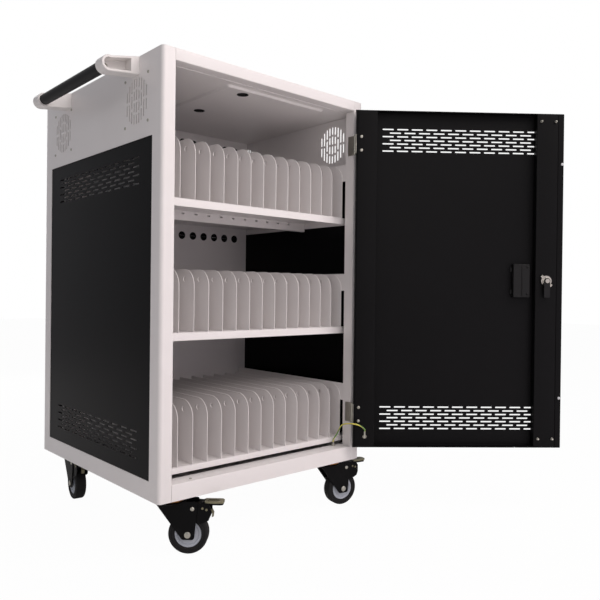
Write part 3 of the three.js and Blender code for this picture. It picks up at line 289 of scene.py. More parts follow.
def finish(name, tone, drift, rough, grain_mm, relief_mm, metal=0.0, shine=0.5):
    """A coated, moulded or plated surface: two close tones, a range of gloss and a relief."""
    made = bpy.data.materials.new(name)
    made.use_nodes = True
    tree = made.node_tree
    shader = tree.nodes["Principled BSDF"]
    where = add(tree, "ShaderNodeTexCoord").outputs["Object"]
    slow = add(tree, "ShaderNodeTexNoise", {"Vector": where, "Scale": 9.0, "Detail": 4.0})
    fine = add(tree, "ShaderNodeTexNoise", {
        "Vector": where, "Scale": 1.0 / (grain_mm * MM), "Detail": 2.0,
    })
    blend = add(tree, "ShaderNodeMix", {
        "Factor": slow.outputs["Fac"], 6: linear(tone), 7: linear(drift),
    }, data_type="RGBA")
    gloss = add(tree, "ShaderNodeMapRange", {
        "Value": fine.outputs["Fac"], "To Min": rough[0], "To Max": rough[1],
    })
    bump = add(tree, "ShaderNodeBump", {
        "Height": fine.outputs["Fac"], "Distance": relief_mm * MM, "Strength": 1.0,
    })
    tree.links.new(blend.outputs[2], shader.inputs["Base Color"])
    tree.links.new(gloss.outputs[0], shader.inputs["Roughness"])
    tree.links.new(bump.outputs[0], shader.inputs["Normal"])
    shader.inputs["Metallic"].default_value = metal
    shader.inputs["Specular IOR Level"].default_value = shine
    return made


# Polyester powder coat, baked: a faint orange peel with cells of about 2 mm
WHITE_COAT = finish("powder_coat_white", "#ebe8e7", "#e4e0df", (0.26, 0.36), 2.2, 0.03, shine=0.7)


def arc(a, b, r, start, stop, steps):
    """Points on an arc about (a, b), angles in degrees."""
    turn = [math.radians(start + (stop - start) * i / steps) for i in range(steps + 1)]
    return [(a + r * math.cos(t), b + r * math.sin(t)) for t in turn]


def ring(a, b, r, sides):
    """Points round a circle."""
    return arc(a, b, r, 0, 360 - 360 / sides, sides - 1)


def oblong(a0, a1, b0, b1, r, steps=4):
    """A rectangle with rounded corners."""
    return (
        arc(a1 - r, b0 + r, r, -90, 0, steps) + arc(a1 - r, b1 - r, r, 0, 90, steps)
        + arc(a0 + r, b1 - r, r, 90, 180, steps) + arc(a0 + r, b0 + r, r, 180, 270, steps)
    )


def rect(a0, a1, b0, b1):
    """A rectangle with sharp corners."""
    return [(a0, b0), (a1, b0), (a1, b1), (a0, b1)]


def loop(bm, axis, outline, t):
    """New vertices along a flat outline (a, b) at height t along an axis."""
    place = {"x": lambda a, b: (t, a, b), "y": lambda a, b: (a, t, b), "z": lambda a, b: (a, b, t)}[axis]
    return [bm.verts.new(place(a, b)) for a, b in outline]


def bridge(bm, loops):
    """Joins each loop of vertices to the next one by a band of faces."""
    for one, two in zip(loops, loops[1:]):
        for i in range(len(one)):
            j = (i + 1) % len(one)
            bm.faces.new((one[i], one[j], two[j], two[i]))


def fill(bm, axis, outline, holes, t):
    """Fills an outline with holes at height t; returns its vertices loop by loop."""
    loops = [outline, *holes]
    made = [loop(bm, axis, points, t) for points in loops]
    flat = [v for points in made for v in points]
    for face in tessellate_polygon([[Vector((a, b, 0)) for a, b in points] for points in loops]):
        bm.faces.new([flat[i] for i in face])
    return made


def plate(bm, axis, outline, low, high, holes=()):
    """A closed outline with holes, drawn out from low to high along an axis."""
    lower = fill(bm, axis, outline, holes, low)
    upper = fill(bm, axis, outline, holes, high)
    for pair in zip(lower, upper):
        bridge(bm, pair)


def put(name, bm, material, body, nodes=(), matrix=None):
    """Makes a finished piece from millimetre geometry and hands it to its body."""
    bmesh.ops.remove_doubles(bm, verts=bm.verts, dist=WELD)
    bmesh.ops.dissolve_degenerate(bm, edges=bm.edges, dist=SLIVER)
    bmesh.ops.recalc_face_normals(bm, faces=bm.faces)
    bm.transform(HOME @ (matrix or Matrix.Identity(4)))
    mesh = bpy.data.meshes.new(name)
    bm.to_mesh(mesh)
    bm.free()
    mesh.materials.append(material)
    mesh.shade_smooth()
    mesh.set_sharp_from_angle(angle=SMOOTH_BELOW)
    made = bpy.data.objects.new(name, mesh)
    scene.collection.objects.link(made)
    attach(made, body)
    if nodes:
        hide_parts(*nodes)


def side_profile():
    """Outline of a left side sheet, seen from above."""
    inner = EDGE_R - SHEET
    return (
        [(STILE, RETURN), (STILE, EDGE_BREAK), (STILE - EDGE_BREAK, 0.0)]
        + arc(EDGE_R, EDGE_R, EDGE_R, 270, 180, BEND)
        + arc(EDGE_R, BODY_D - EDGE_R, EDGE_R, 180, 90, BEND)
        + [(STILE - EDGE_BREAK, BODY_D), (STILE, BODY_D - EDGE_BREAK), (STILE, BODY_D - RETURN)]
        + [(STILE - SHEET, BODY_D - RETURN), (STILE - SHEET, BODY_D - SHEET)]
        + arc(EDGE_R, BODY_D - EDGE_R, inner, 90, 180, BEND)
        + arc(EDGE_R, EDGE_R, inner, 180, 270, BEND)
        + [(STILE - SHEET, SHEET), (STILE - SHEET, RETURN)]
    )


def grille(y):
    """Slots of one round grille: upright obrounds in columns, split by a ring and by ribs."""
    found = []
    half, rib = GRILLE_SLOT / 2, GRILLE_RIB / 2
    for i in range(-GRILLE_COLUMNS, GRILLE_COLUMNS + 1):
        a = i * GRILLE_PITCH
        reach = math.sqrt(GRILLE_R ** 2 - a ** 2)
        ribs = [] if abs(i) == 2 else [0.0]
        if abs(a) < GRILLE_RING_R:
            web = math.sqrt(GRILLE_RING_R ** 2 - a ** 2)
            ribs = [-web, *ribs, web]
        starts = [-reach] + [r + rib for r in ribs]
        ends = [r - rib for r in ribs] + [reach]
        for low, high in zip(starts, ends):
            found.append(oblong(
                y + a - half, y + a + half, GRILLE_Z + low, GRILLE_Z + high, half - 0.1, 3))
    return found


def side_sheet(mirrored):
    """The bent channel: strips between bends, and the pierced flat in the middle."""
    bm = bmesh.new()
    points = side_profile()
    low, high = SHEET, BODY_H - SHEET
    holes = [oblong(*WINDOW, WINDOW_R, 3)] + [slot for y in GRILLE_Y for slot in grille(y)]
    flats = {0.0, SHEET}
    walls = {}
    for i, one in enumerate(points):
        two = points[(i + 1) % len(points)]
        flat = abs(one[0] - two[0]) < 1e-6 and round(one[0], 4) in flats
        if flat and abs(one[1] - two[1]) > BODY_D / 2:
            y0, y1 = sorted((one[1], two[1]))
            walls[one[0]] = fill(bm, "x", rect(y0, y1, low, high), holes, one[0])[1:]
        else:
            quad = [(*one, low), (*two, low), (*two, high), (*one, high)]
            bm.faces.new([bm.verts.new(p) for p in quad])
    for pair in zip(walls[0.0], walls[SHEET]):
        bridge(bm, pair)
    for z in (low, high):
        fill(bm, "z", points, [], z)
    if mirrored:
        bm.transform(Matrix.Translation((BODY_W, 0, 0)) @ Matrix.Scale(-1, 4, (1, 0, 0)))
    return bm


put("side_sheet_left", side_sheet(False), WHITE_COAT, "cabinet", ["side_left"])
put("side_sheet_right", side_sheet(True), WHITE_COAT, "cabinet", ["side_right"])


# Vent panels: black sheets set behind the side windows, pierced by a press with two
# bands of staggered obround slots. One node tree draws every slotted sheet of the cart.
def node_tree(name, inputs):
    """A new geometry node tree with these inputs and one output, and the inputs' sockets."""
    tree = bpy.data.node_groups.new(name, "GeometryNodeTree")
    for label, kind in inputs:
        tree.interface.new_socket(label, in_out="INPUT", socket_type="NodeSocket" + kind)
    tree.interface.new_socket("Geometry", in_out="OUTPUT", socket_type="NodeSocketGeometry")
    return tree, add(tree, "NodeGroupInput").outputs


def deliver(tree, geometry, material):
    """Ends a node tree: instances made real and coated, then the output."""
    real = add(tree, "GeometryNodeRealizeInstances", {"Geometry": geometry})
    coated = add(tree, "GeometryNodeSetMaterial", {"Geometry": real.outputs[0], "Material": material})
    add(tree, "NodeGroupOutput", {"Geometry": coated.outputs[0]})


def sums(tree, one, two, work):
    """One step of arithmetic in a node tree."""
    return add(tree, "ShaderNodeMath", {0: one, 1: two}, operation=work).outputs[0]


SLOT_LENGTHS = (
    "Width", "Height", "Thickness", "Slot Length", "Slot Width", "Pitch", "Row Pitch", "Band Centre X",
    "Low Band Y", "High Band Y", "Cut Width", "Cut Height", "Cut X", "Cut Y",
)
SLOT_END_SHARE, SLOT_WELD = 0.49, 0.01
SLOTTED, given = node_tree("slotted_sheet", [
    *((label, "Float") for label in SLOT_LENGTHS),
    ("Columns", "Int"), ("Long Rows", "Int"), ("Material", "Material"),
])
tree = SLOTTED
slot_box = add(tree, "GeometryNodeCurvePrimitiveQuadrilateral", {
    "Width": given["Slot Length"], "Height": given["Slot Width"],
})
slot_end = add(tree, "GeometryNodeFilletCurve", {
    "Curve": slot_box.outputs[0], "Count": 3,
    "Radius": sums(tree, given["Slot Width"], SLOT_END_SHARE, "MULTIPLY"),
}, mode="POLY")
less_one = sums(tree, given["Columns"], 1.0, "SUBTRACT")
less_two = sums(tree, given["Columns"], 2.0, "SUBTRACT")
rows_short = sums(tree, given["Long Rows"], 1.0, "SUBTRACT")
rows_shorter = sums(tree, given["Long Rows"], 2.0, "SUBTRACT")
double = sums(tree, given["Row Pitch"], 2.0, "MULTIPLY")
long_rows = add(tree, "GeometryNodeMeshGrid", {
    "Size X": sums(tree, less_one, given["Pitch"], "MULTIPLY"),
    "Size Y": sums(tree, rows_short, double, "MULTIPLY"),
    "Vertices X": given["Columns"], "Vertices Y": given["Long Rows"],
})
short_rows = add(tree, "GeometryNodeMeshGrid", {
    "Size X": sums(tree, less_two, given["Pitch"], "MULTIPLY"),
    "Size Y": sums(tree, rows_shorter, double, "MULTIPLY"),
    "Vertices X": less_one, "Vertices Y": rows_short,
})
band = add(tree, "GeometryNodeJoinGeometry")
tree.links.new(long_rows.outputs[0], band.inputs[0])
tree.links.new(short_rows.outputs[0], band.inputs[0])
bands = add(tree, "GeometryNodeJoinGeometry")
for edge in ("Low Band Y", "High Band Y"):
    shift = add(tree, "ShaderNodeCombineXYZ", {"X": given["Band Centre X"], "Y": given[edge]})
    moved = add(tree, "GeometryNodeTransform", {
        "Geometry": band.outputs[0], "Translation": shift.outputs[0],
    })
    tree.links.new(moved.outputs[0], bands.inputs[0])
slots = add(tree, "GeometryNodeInstanceOnPoints", {
    "Points": bands.outputs[0], "Instance": slot_end.outputs[0],
})
slots = add(tree, "GeometryNodeRealizeInstances", {"Geometry": slots.outputs[0]})
rim = add(tree, "GeometryNodeCurvePrimitiveQuadrilateral", {
    "Width": given["Width"], "Height": given["Height"],
})
cut = add(tree, "GeometryNodeCurvePrimitiveQuadrilateral", {
    "Width": given["Cut Width"], "Height": given["Cut Height"],
})
cut_at = add(tree, "ShaderNodeCombineXYZ", {"X": given["Cut X"], "Y": given["Cut Y"]})
cut = add(tree, "GeometryNodeTransform", {
    "Geometry": cut.outputs[0], "Translation": cut_at.outputs[0],
})
lines = add(tree, "GeometryNodeJoinGeometry")
for source in (rim, cut, slots):
    tree.links.new(source.outputs[0], lines.inputs[0])
skin = add(tree, "GeometryNodeFillCurve", {"Curve": lines.outputs[0]}, mode="TRIANGLES")
lift = add(tree, "ShaderNodeCombineXYZ", {"Z": given["Thickness"]})
thick = add(tree, "GeometryNodeExtrudeMesh", {
    "Mesh": skin.outputs[0], "Offset": lift.outputs[0], "Offset Scale": 1.0, "Individual": False,
}, mode="FACES")
back = add(tree, "GeometryNodeFlipFaces", {"Mesh": skin.outputs[0]})
whole = add(tree, "GeometryNodeJoinGeometry")
tree.links.new(thick.outputs["Mesh"], whole.inputs[0])
tree.links.new(back.outputs[0], whole.inputs[0])
welded = add(tree, "GeometryNodeMergeByDistance", {"Geometry": whole.outputs[0], "Distance": SLOT_WELD})
deliver(tree, welded.outputs[0], given["Material"])


def grow(name, tree, sizes, base=None):
    """Runs a node tree once and returns its result as bare geometry."""
    seed = bpy.data.objects.new(name + "_seed", base or bpy.data.meshes.new(name + "_seed"))
    scene.collection.objects.link(seed)
    step = seed.modifiers.new("grow", "NODES")
    step.node_group = tree
    for item in tree.interface.items_tree:
        if item.in_out == "INPUT" and item.name in sizes:
            step[item.identifier] = sizes[item.name]
    bpy.context.view_layer.update()
    graph = bpy.context.evaluated_depsgraph_get()
    mesh = bpy.data.meshes.new_from_object(seed.evaluated_get(graph))
    bm = bmesh.new()
    bm.from_mesh(mesh)
    bpy.data.objects.remove(seed)
    bpy.data.meshes.remove(mesh)
    return bm


# Smooth black powder coat with more shine than the door's
SATIN_COAT = finish("powder_coat_black_smooth", "#08080a", "#050506", (0.26, 0.36), 3.0, 0.02, shine=0.06)
VENT_LAP, VENT_BAND_INSET = 8.0, 37.0
VENT_SLOT, VENT_PITCH, VENT_COLUMNS = 33.0, 45.6, 10
ROW_PITCH, SLOT_W, LONG_ROWS = 9.7, 3.7, 4
BAND_H = (2 * LONG_ROWS - 2) * ROW_PITCH + SLOT_W
NO_CUT = 0.02


def vent_panel(x):
    """One vent panel, its outer face at x, facing left."""
    y0, y1, z0, z1 = WINDOW
    wide, tall = y1 - y0 + 2 * VENT_LAP, z1 - z0 + 2 * VENT_LAP
    middle = tall / 2 - VENT_LAP - VENT_BAND_INSET - BAND_H / 2
    bm = grow("vent_panel", SLOTTED, {
        "Width": wide, "Height": tall, "Thickness": SHEET, "Slot Length": VENT_SLOT, "Slot Width": SLOT_W,
        "Pitch": VENT_PITCH, "Row Pitch": ROW_PITCH, "Columns": VENT_COLUMNS, "Long Rows": LONG_ROWS,
        "Band Centre X": 0.0, "Low Band Y": -middle, "High Band Y": middle,
        "Cut Width": NO_CUT, "Cut Height": NO_CUT,
        "Cut X": wide / 2 - 1.0, "Cut Y": tall / 2 - 1.0, "Material": SATIN_COAT,
    })
    upright = Matrix(((0, 0, 1, x), (1, 0, 0, (y0 + y1) / 2), (0, 1, 0, (z0 + z1) / 2), (0, 0, 0, 1)))
    bm.transform(upright)
    return bm


put("vent_sheet_left", vent_panel(SHEET), SATIN_COAT, "cabinet", ["vent_panel_left"])
put("vent_sheet_right", vent_panel(BODY_W - 2 * SHEET), SATIN_COAT, "cabinet",
    ["vent_panel_right"])


# Base pan and top cover: flat plates with folded rails at the front and the rear.
# The sill at the bottom has a wide ledge, the rail at the top a return.
RAIL_GAP = 0.3
RAIL_X = (STILE + RAIL_GAP, BODY_W - STILE - RAIL_GAP)
SILL, LEDGE, TOP_RAIL = 37.0, 42.0, 26.0
FOLD_R = 2.0


def mirrored_y(points):
    """The same outline at the rear of the cabinet."""
    return [(BODY_D - y, z) for y, z in points]


def fold_up(height, depth):
    """Outline of a front rail folded up from the base and back into a ledge (y, z)."""
    return (
        [(0.0, SHEET), (SHEET, SHEET), (SHEET, height - SHEET), (depth, height - SHEET), (depth, height)]
        + arc(FOLD_R, height - FOLD_R, FOLD_R, 90, 180, 4)
    )


bm = bmesh.new()
plate(bm, "z", oblong(0, BODY_W, 0, BODY_D, EDGE_R, BEND), 0.0, SHEET)
put("base_plate", bm, WHITE_COAT, "cabinet", ["base_pan"])
bm = bmesh.new()
plate(bm, "x", fold_up(SILL, LEDGE), *RAIL_X)
plate(bm, "x", mirrored_y(fold_up(SILL, RETURN)), *RAIL_X)
put("base_sills", bm, WHITE_COAT, "cabinet")

bm = bmesh.new()
plate(bm, "z", oblong(0, BODY_W, 0, BODY_D, EDGE_R, BEND), BODY_H - SHEET, BODY_H)
put("top_plate", bm, WHITE_COAT, "cabinet", ["top_cover"])
bm = bmesh.new()
hang = [(y, BODY_H - z) for y, z in fold_up(TOP_RAIL, RETURN)]
plate(bm, "x", hang, *RAIL_X)
plate(bm, "x", mirrored_y(hang), *RAIL_X)
put("top_rails", bm, WHITE_COAT, "cabinet")


# Ceiling: a lining sheet under the top cover, stiffened by a pressed field, with two
# holes for the wiring of the fans, each closed by a grommet with a skin.
CEILING_Z = BODY_H - TOP_RAIL - SHEET
FIELD = (203.0, 518.0, 48.0, 497.0)
FIELD_DROP, FIELD_SLOPE, FIELD_R, FIELD_LAP = 5.0, 5.0, 10.0, 0.1
CEILING_HOLES, CEILING_HOLE_R = ((268.0, 79.0), (268.0, 272.5)), 13.0
GROMMET_R, GROMMET_BORE = 14.5, 11.5
PARTITION_Y = 515.0
bm = bmesh.new()
holes = [ring(x, y, CEILING_HOLE_R, 28) for x, y in CEILING_HOLES]
lining = rect(SHEET, BODY_W - SHEET, RETURN + RAIL_GAP, BODY_D - RETURN - RAIL_GAP)
plate(bm, "z", lining, CEILING_Z, CEILING_Z + SHEET, holes)
put("ceiling_sheet", bm, WHITE_COAT, "cabinet", ["ceiling_panel"])
bm = bmesh.new()
outer = oblong(*FIELD, FIELD_R, 5)
x0, x1, y0, y1 = FIELD
inner = oblong(x0 + FIELD_SLOPE, x1 - FIELD_SLOPE, y0 + FIELD_SLOPE, y1 - FIELD_SLOPE, 6.0, 5)
edge = loop(bm, "z", outer, CEILING_Z + FIELD_LAP)
face = fill(bm, "z", inner, holes, CEILING_Z - FIELD_DROP)
back = fill(bm, "z", outer, holes, CEILING_Z + FIELD_LAP)
for pair in [(edge, face[0]), *zip(face[1:], back[1:])]:
    bridge(bm, pair)
put("ceiling_field", bm, WHITE_COAT, "cabinet")
# Soft PVC, black and dull
SOFT_PVC = finish("pvc_soft_black", "#0b0b0c", "#070708", (0.6, 0.75), 1.2, 0.03, shine=0.15)
bm = bmesh.new()
z = CEILING_Z - FIELD_DROP
for x, y in CEILING_HOLES:
    plate(bm, "z", ring(x, y, CEILING_HOLE_R - 0.1, 28), z + 0.5, z + 1.5)
    plate(bm, "z", ring(x, y, GROMMET_R, 28), z - 0.6, z - 0.02, [ring(x, y, GROMMET_BORE, 28)])
put("ceiling_grommets", bm, SOFT_PVC, "cabinet")


# Partition: the sheet behind the bays, with a cable hole at every bay of every tier
# and a notch round the rear fan. A slit skin of black soft PVC closes each hole; its black
# is painted shade, standing in for the dark of the shaded compartment behind the holes.
DECKS = {"lower": 58.0, "middle": 358.0, "upper": 658.0}
TIER = 300.0
BAYS = 14
BAY_X0 = STILE - SHEET / 2
BAY_PITCH = (BODY_W - 2 * STILE + SHEET) / BAYS
CABLE_R, CABLE_DROP = 12.0, 34.0
SLIT_L, SLIT_W, SLIT_R = 16.0, 0.8, 0.3
FAN_SIZE, FAN_D = 120.0, 25.0


def centred(a, b, half_a, half_b, r, steps):
    """A rectangle with rounded corners about a middle point."""
    return oblong(a - half_a, a + half_a, b - half_b, b + half_b, r, steps)


notch_x, notch_z = SHEET + FAN_D + RAIL_GAP, GRILLE_Z - FAN_SIZE / 2 - RAIL_GAP
cable_spots = [
    (BAY_X0 + (i + 0.5) * BAY_PITCH, min(deck + TIER, CEILING_Z) - CABLE_DROP)
    for deck in DECKS.values() for i in range(BAYS)
]
holes = [ring(x, z, CABLE_R, 24) for x, z in cable_spots]
bm = bmesh.new()
plate(bm, "y", [
    (2 * SHEET, SHEET), (BODY_W - 2 * SHEET, SHEET), (BODY_W - 2 * SHEET, CEILING_Z),
    (notch_x, CEILING_Z), (notch_x, notch_z), (2 * SHEET, notch_z),
], PARTITION_Y, PARTITION_Y + SHEET, holes)
put("partition_sheet", bm, WHITE_COAT, "cabinet", ["partition"])
# Painted shade: black skins close the cable holes so that they show as dark as the shaded compartment
# behind.
bm = bmesh.new()
for x, z in cable_spots:
    slits = [centred(x, z, SLIT_L / 2, SLIT_W / 2, SLIT_R, 1)]
    plate(bm, "y", ring(x, z, CABLE_R - 0.1, 24), PARTITION_Y + 0.6, PARTITION_Y + SHEET - 0.1, slits)
put("cable_skins", bm, SOFT_PVC, "cabinet")


# Trays: folded shelves whose front lip shows. An angle underneath keeps the sheet flat
# and has a slot under every divider.
TRAY_Y0, TRAY_LIP, LOW_LIP = 42.0, 17.0, 12.5
TRAY_RIB_Y, TRAY_RIB_H = 222.0, 24.0
TRAY_RIB_FOOT, CHEEK_INSET = 16.0, 4.0
TAB_W, TAB_H, TAB_DROP = 9.0, 3.6, 4.5
for tier, deck in DECKS.items():
    bm = bmesh.new()
    y1, low = PARTITION_Y, deck - (LOW_LIP if tier == "lower" else TRAY_LIP)
    outline = (
        [(TRAY_Y0, low)] + arc(TRAY_Y0 + FOLD_R, deck - FOLD_R, FOLD_R, 180, 90, 5)
        + arc(y1 - FOLD_R, deck - FOLD_R, FOLD_R, 90, 0, 5)
        + [(y1, low), (y1 - SHEET, low), (y1 - SHEET, deck - SHEET), (TRAY_Y0 + SHEET, deck - SHEET),
           (TRAY_Y0 + SHEET, low)]
    )
    plate(bm, "x", outline, 2 * SHEET, BODY_W - 2 * SHEET)
    put(f"tray_sheet_{tier}", bm, WHITE_COAT, "cabinet", [f"tray_{tier}"])
    bm = bmesh.new()
    for x in (2 * SHEET + 0.2, BODY_W - 3 * SHEET - 0.2):
        cheek = rect(TRAY_Y0 + CHEEK_INSET, PARTITION_Y - CHEEK_INSET, low, deck - SHEET)
        plate(bm, "x", cheek, x, x + SHEET)
    x0, x1, z = 3 * SHEET + 2.0, BODY_W - 3 * SHEET - 2.0, deck - SHEET
    tabs = [
        oblong(x - TAB_W / 2, x + TAB_W / 2, z - TAB_DROP - TAB_H, z - TAB_DROP, 1.0, 2)
        for x in (BAY_X0 + i * BAY_PITCH for i in range(1, BAYS))
    ]
    plate(bm, "y", rect(x0, x1, z - TRAY_RIB_H, z), TRAY_RIB_Y, TRAY_RIB_Y + SHEET, tabs)
    foot = oblong(TRAY_RIB_Y, TRAY_RIB_Y + TRAY_RIB_FOOT, z - TRAY_RIB_H, z - TRAY_RIB_H + SHEET, 0.6, 2)
    plate(bm, "x", foot, x0, x1)
    put(f"tray_flanges_{tier}", bm, WHITE_COAT, "cabinet")


# Divider racks: upright sheet plates with a rounded shoulder and a hanging hole, standing
# on a base sheet at every bay. Side rails tie the ends to returns and partition.
PLATE_T, PLATE_H, PLATE_D, PLATE_R, PLATE_REAR_R = 1.2, 145.0, 380.0, 40.0, 6.0
HANG_Y, HANG_DROP, HANG_R = 40.0, 23.0, 6.0
RAIL_Z, RAIL_H, RAIL_Y0 = 100.0, 46.0, 8.0
RACK, given = node_tree("plates_in_a_row", (
    ("Plate", "Object"), ("Count", "Int"), ("Pitch", "Float"), ("Material", "Material"),
))
tree = RACK
step = add(tree, "ShaderNodeCombineXYZ", {"X": given["Pitch"]})
row = add(tree, "GeometryNodeMeshLine", {"Count": given["Count"], "Offset": step.outputs[0]})
form = add(tree, "GeometryNodeObjectInfo", {"Object": given["Plate"]})
many = add(tree, "GeometryNodeInstanceOnPoints", {
    "Points": row.outputs[0], "Instance": form.outputs["Geometry"],
})
deliver(tree, many.outputs[0], given["Material"])


def pattern(name, bm):
    """A shape to be repeated by a node tree; it is removed after use."""
    bmesh.ops.remove_doubles(bm, verts=bm.verts, dist=WELD)
    bmesh.ops.recalc_face_normals(bm, faces=bm.faces)
    mesh = bpy.data.meshes.new(name)
    bm.to_mesh(mesh)
    bm.free()
    made = bpy.data.objects.new(name, mesh)
    scene.collection.objects.link(made)
    return made


def merge(bm, other):
    """Adds one body of geometry to another."""
    mesh = bpy.data.meshes.new("merge")
    other.to_mesh(mesh)
    other.free()
    bm.from_mesh(mesh)
    bpy.data.meshes.remove(mesh)


bm = bmesh.new()
outline = (
    [(TRAY_Y0 + PLATE_D, 0.0), (TRAY_Y0 + PLATE_D, PLATE_H - PLATE_REAR_R)]
    + arc(TRAY_Y0 + PLATE_D - PLATE_REAR_R, PLATE_H - PLATE_REAR_R, PLATE_REAR_R, 0, 90, 4)
    + arc(TRAY_Y0 + PLATE_R, PLATE_H - PLATE_R, PLATE_R, 90, 180, 10) + [(TRAY_Y0, 0.0)]
)
hanging = [ring(TRAY_Y0 + HANG_Y, PLATE_H - HANG_DROP, HANG_R, 16)]
plate(bm, "x", outline, -PLATE_T / 2, PLATE_T / 2, hanging)
divider = pattern("divider", bm)
for tier, deck in DECKS.items():
    bm = grow("dividers", RACK, {
        "Plate": divider, "Count": BAYS + 1, "Pitch": BAY_PITCH, "Material": WHITE_COAT,
    })
    bm.transform(Matrix.Translation((BAY_X0, 0, deck)))
    put(f"dividers_{tier}", bm, WHITE_COAT, "cabinet", [f"divider_rack_{tier}"])
    bm = bmesh.new()
    base = rect(BAY_X0, BODY_W - BAY_X0, TRAY_Y0 + 1, TRAY_Y0 + PLATE_D)
    plate(bm, "z", base, deck + 0.02, deck + PLATE_T)
    for x in (STILE - 2 * SHEET, BODY_W - STILE + SHEET):
        rail = oblong(RAIL_Y0, PARTITION_Y - 0.2, deck + RAIL_Z, deck + RAIL_Z + RAIL_H, 3.0, 3)
        plate(bm, "x", rail, x, x + SHEET)
    put(f"rack_base_{tier}", bm, WHITE_COAT, "cabinet")
bpy.data.objects.remove(divider)


# Power strips: extruded housings behind the partition, screwed to it, each with a row
# of socket inserts. They sit in the rear compartment, one at either side.
STRIP_SIZE = (44.0, 40.0, 700.0)
STRIP_X, STRIP_Z = 130.0, 120.0
STRIP_SCREW = 14.0
SOCKETS, SOCKET_PITCH, SOCKET_Z = 8, 80.0, STRIP_Z + 70.0
SOCKET_HALF, SOCKET_BACK, SOCKET_R = 16.0, 14.0, 4.0
REAR_FACE = PARTITION_Y + SHEET
# Injection-moulded ABS with a spark-eroded grain, in white and black
WHITE_ABS = finish("abs_white_grained", "#ebe8e6", "#e4e1df", (0.36, 0.5), 0.9, 0.04)
BLACK_ABS = finish("abs_black_grained", "#111112", "#0c0c0d", (0.45, 0.62), 0.8, 0.05, shine=0.22)


def slab(bm, x, y, z, soft, steps=2):
    """A block between pairs of limits, its edges rounded."""
    block = bmesh.new()
    bmesh.ops.create_cube(block, size=1.0)
    middle = [(a + b) / 2 for a, b in (x, y, z)]
    sides = [b - a for a, b in (x, y, z)]
    block.transform(Matrix.Translation(middle) @ Matrix.Diagonal((*sides, 1.0)))
    if soft:
        bmesh.ops.bevel(block, geom=block.edges[:], offset=soft, segments=steps, profile=0.5,
                        affect="EDGES")
    merge(bm, block)


bm = bmesh.new()
plate(bm, "y", centred(0, 0, SOCKET_HALF, SOCKET_HALF, SOCKET_R, 3), 0.0, 2.0, [
    oblong(-9, -5.5, -3.5, 3.5, 1.0, 2), oblong(5.5, 9, -3.5, 3.5, 1.0, 2),
    oblong(-2, 2, -9.5, -5.5, 1.9, 3),
])
plate(bm, "y", centred(0, 0, SOCKET_BACK, SOCKET_BACK, SOCKET_R, 3), -3.0, -1.0)
socket = pattern("socket", bm)
for name, x in (("left", STRIP_X), ("right", BODY_W - STRIP_X)):
    bm = bmesh.new()
    slab(bm, (x - STRIP_SIZE[0] / 2, x + STRIP_SIZE[0] / 2), (REAR_FACE, REAR_FACE + STRIP_SIZE[1]),
         (STRIP_Z, STRIP_Z + STRIP_SIZE[2]), 3.0, 3)
    put(f"strip_housing_{name}", bm, WHITE_ABS, "cabinet", [f"power_strip_{name}"])
    bm = grow("sockets", RACK, {
        "Plate": socket, "Count": SOCKETS, "Pitch": SOCKET_PITCH, "Material": BLACK_ABS,
    })
    bm.transform(Matrix.Translation((x, REAR_FACE + STRIP_SIZE[1], SOCKET_Z))
                 @ Matrix.Rotation(-math.pi / 2, 4, "Y"))
    put(f"strip_sockets_{name}", bm, BLACK_ABS, "cabinet")
bpy.data.objects.remove(socket)


# Control box: a moulded housing with a recessed mains inlet below and the pocket of the
# main switch above. The rocker is red and rests switched off.
BOX_SIZE = (160.0, 52.0, 190.0)
BOX_X0, BOX_Z = (BODY_W - BOX_SIZE[0]) / 2, 690.0
BOX_FACE = REAR_FACE + BOX_SIZE[1]
ROCKER_SIZE = (22.0, 9.0, 30.0)
ROCKER_Z, INLET_Z = BOX_Z + 0.7 * BOX_SIZE[2], BOX_Z + 0.3 * BOX_SIZE[2]
ROCKER_TILT = math.radians(-8)
BOX_R, BOX_EDGE = 6.0, 1.5
ROCKER_POCKET, ROCKER_POCKET_D = (11.6, 16.2), 11.4
INLET_POCKET, INLET_INSERT, INLET_D = (24.0, 14.0), (20.0, 11.0), 14.0
INLET_PINS, INLET_PIN = (-7.0, 0.0, 7.0), (1.0, 2.5)
MID_X = BODY_W / 2
# The same ABS in grey, and polished red for the rocker
GREY_ABS = finish("abs_grey_grained", "#9a9c9b", "#8f9190", (0.42, 0.55), 0.9, 0.04)
RED_ABS = finish("abs_red_polished", "#b3261e", "#a2211a", (0.22, 0.32), 1.5, 0.02)
pockets = [
    centred(MID_X, ROCKER_Z, *ROCKER_POCKET, 1.0, 2), centred(MID_X, INLET_Z, *INLET_POCKET, 3.0, 3),
]
bm = bmesh.new()
x0, x1, z0, z1 = BOX_X0, BOX_X0 + BOX_SIZE[0], BOX_Z, BOX_Z + BOX_SIZE[2]
face = oblong(x0, x1, z0, z1, BOX_R, 4)
soft = oblong(x0 + BOX_EDGE, x1 - BOX_EDGE, z0 + BOX_EDGE, z1 - BOX_EDGE, BOX_R - BOX_EDGE, 4)
front = fill(bm, "y", soft, pockets, BOX_FACE)
sides = [loop(bm, "y", face, y) for y in (BOX_FACE - BOX_EDGE, REAR_FACE)]
fill(bm, "y", face, [], REAR_FACE)
bridge(bm, [front[0], *sides])
for rim, outline, depth in zip(front[1:], pockets, (ROCKER_POCKET_D, INLET_D)):
    bridge(bm, (rim, fill(bm, "y", outline, [], BOX_FACE - depth)[0]))
put("box_housing", bm, GREY_ABS, "cabinet", ["control_box"])
bm = bmesh.new()
plate(bm, "y", centred(MID_X, INLET_Z, *INLET_INSERT, 5.0, 3), BOX_FACE - INLET_D + 0.2, BOX_FACE - 11.0)
for x in INLET_PINS:
    slab(bm, (MID_X + x - INLET_PIN[0], MID_X + x + INLET_PIN[0]), (BOX_FACE - 11.2, BOX_FACE - 2.0),
         (INLET_Z - INLET_PIN[1], INLET_Z + INLET_PIN[1]), 0.3)
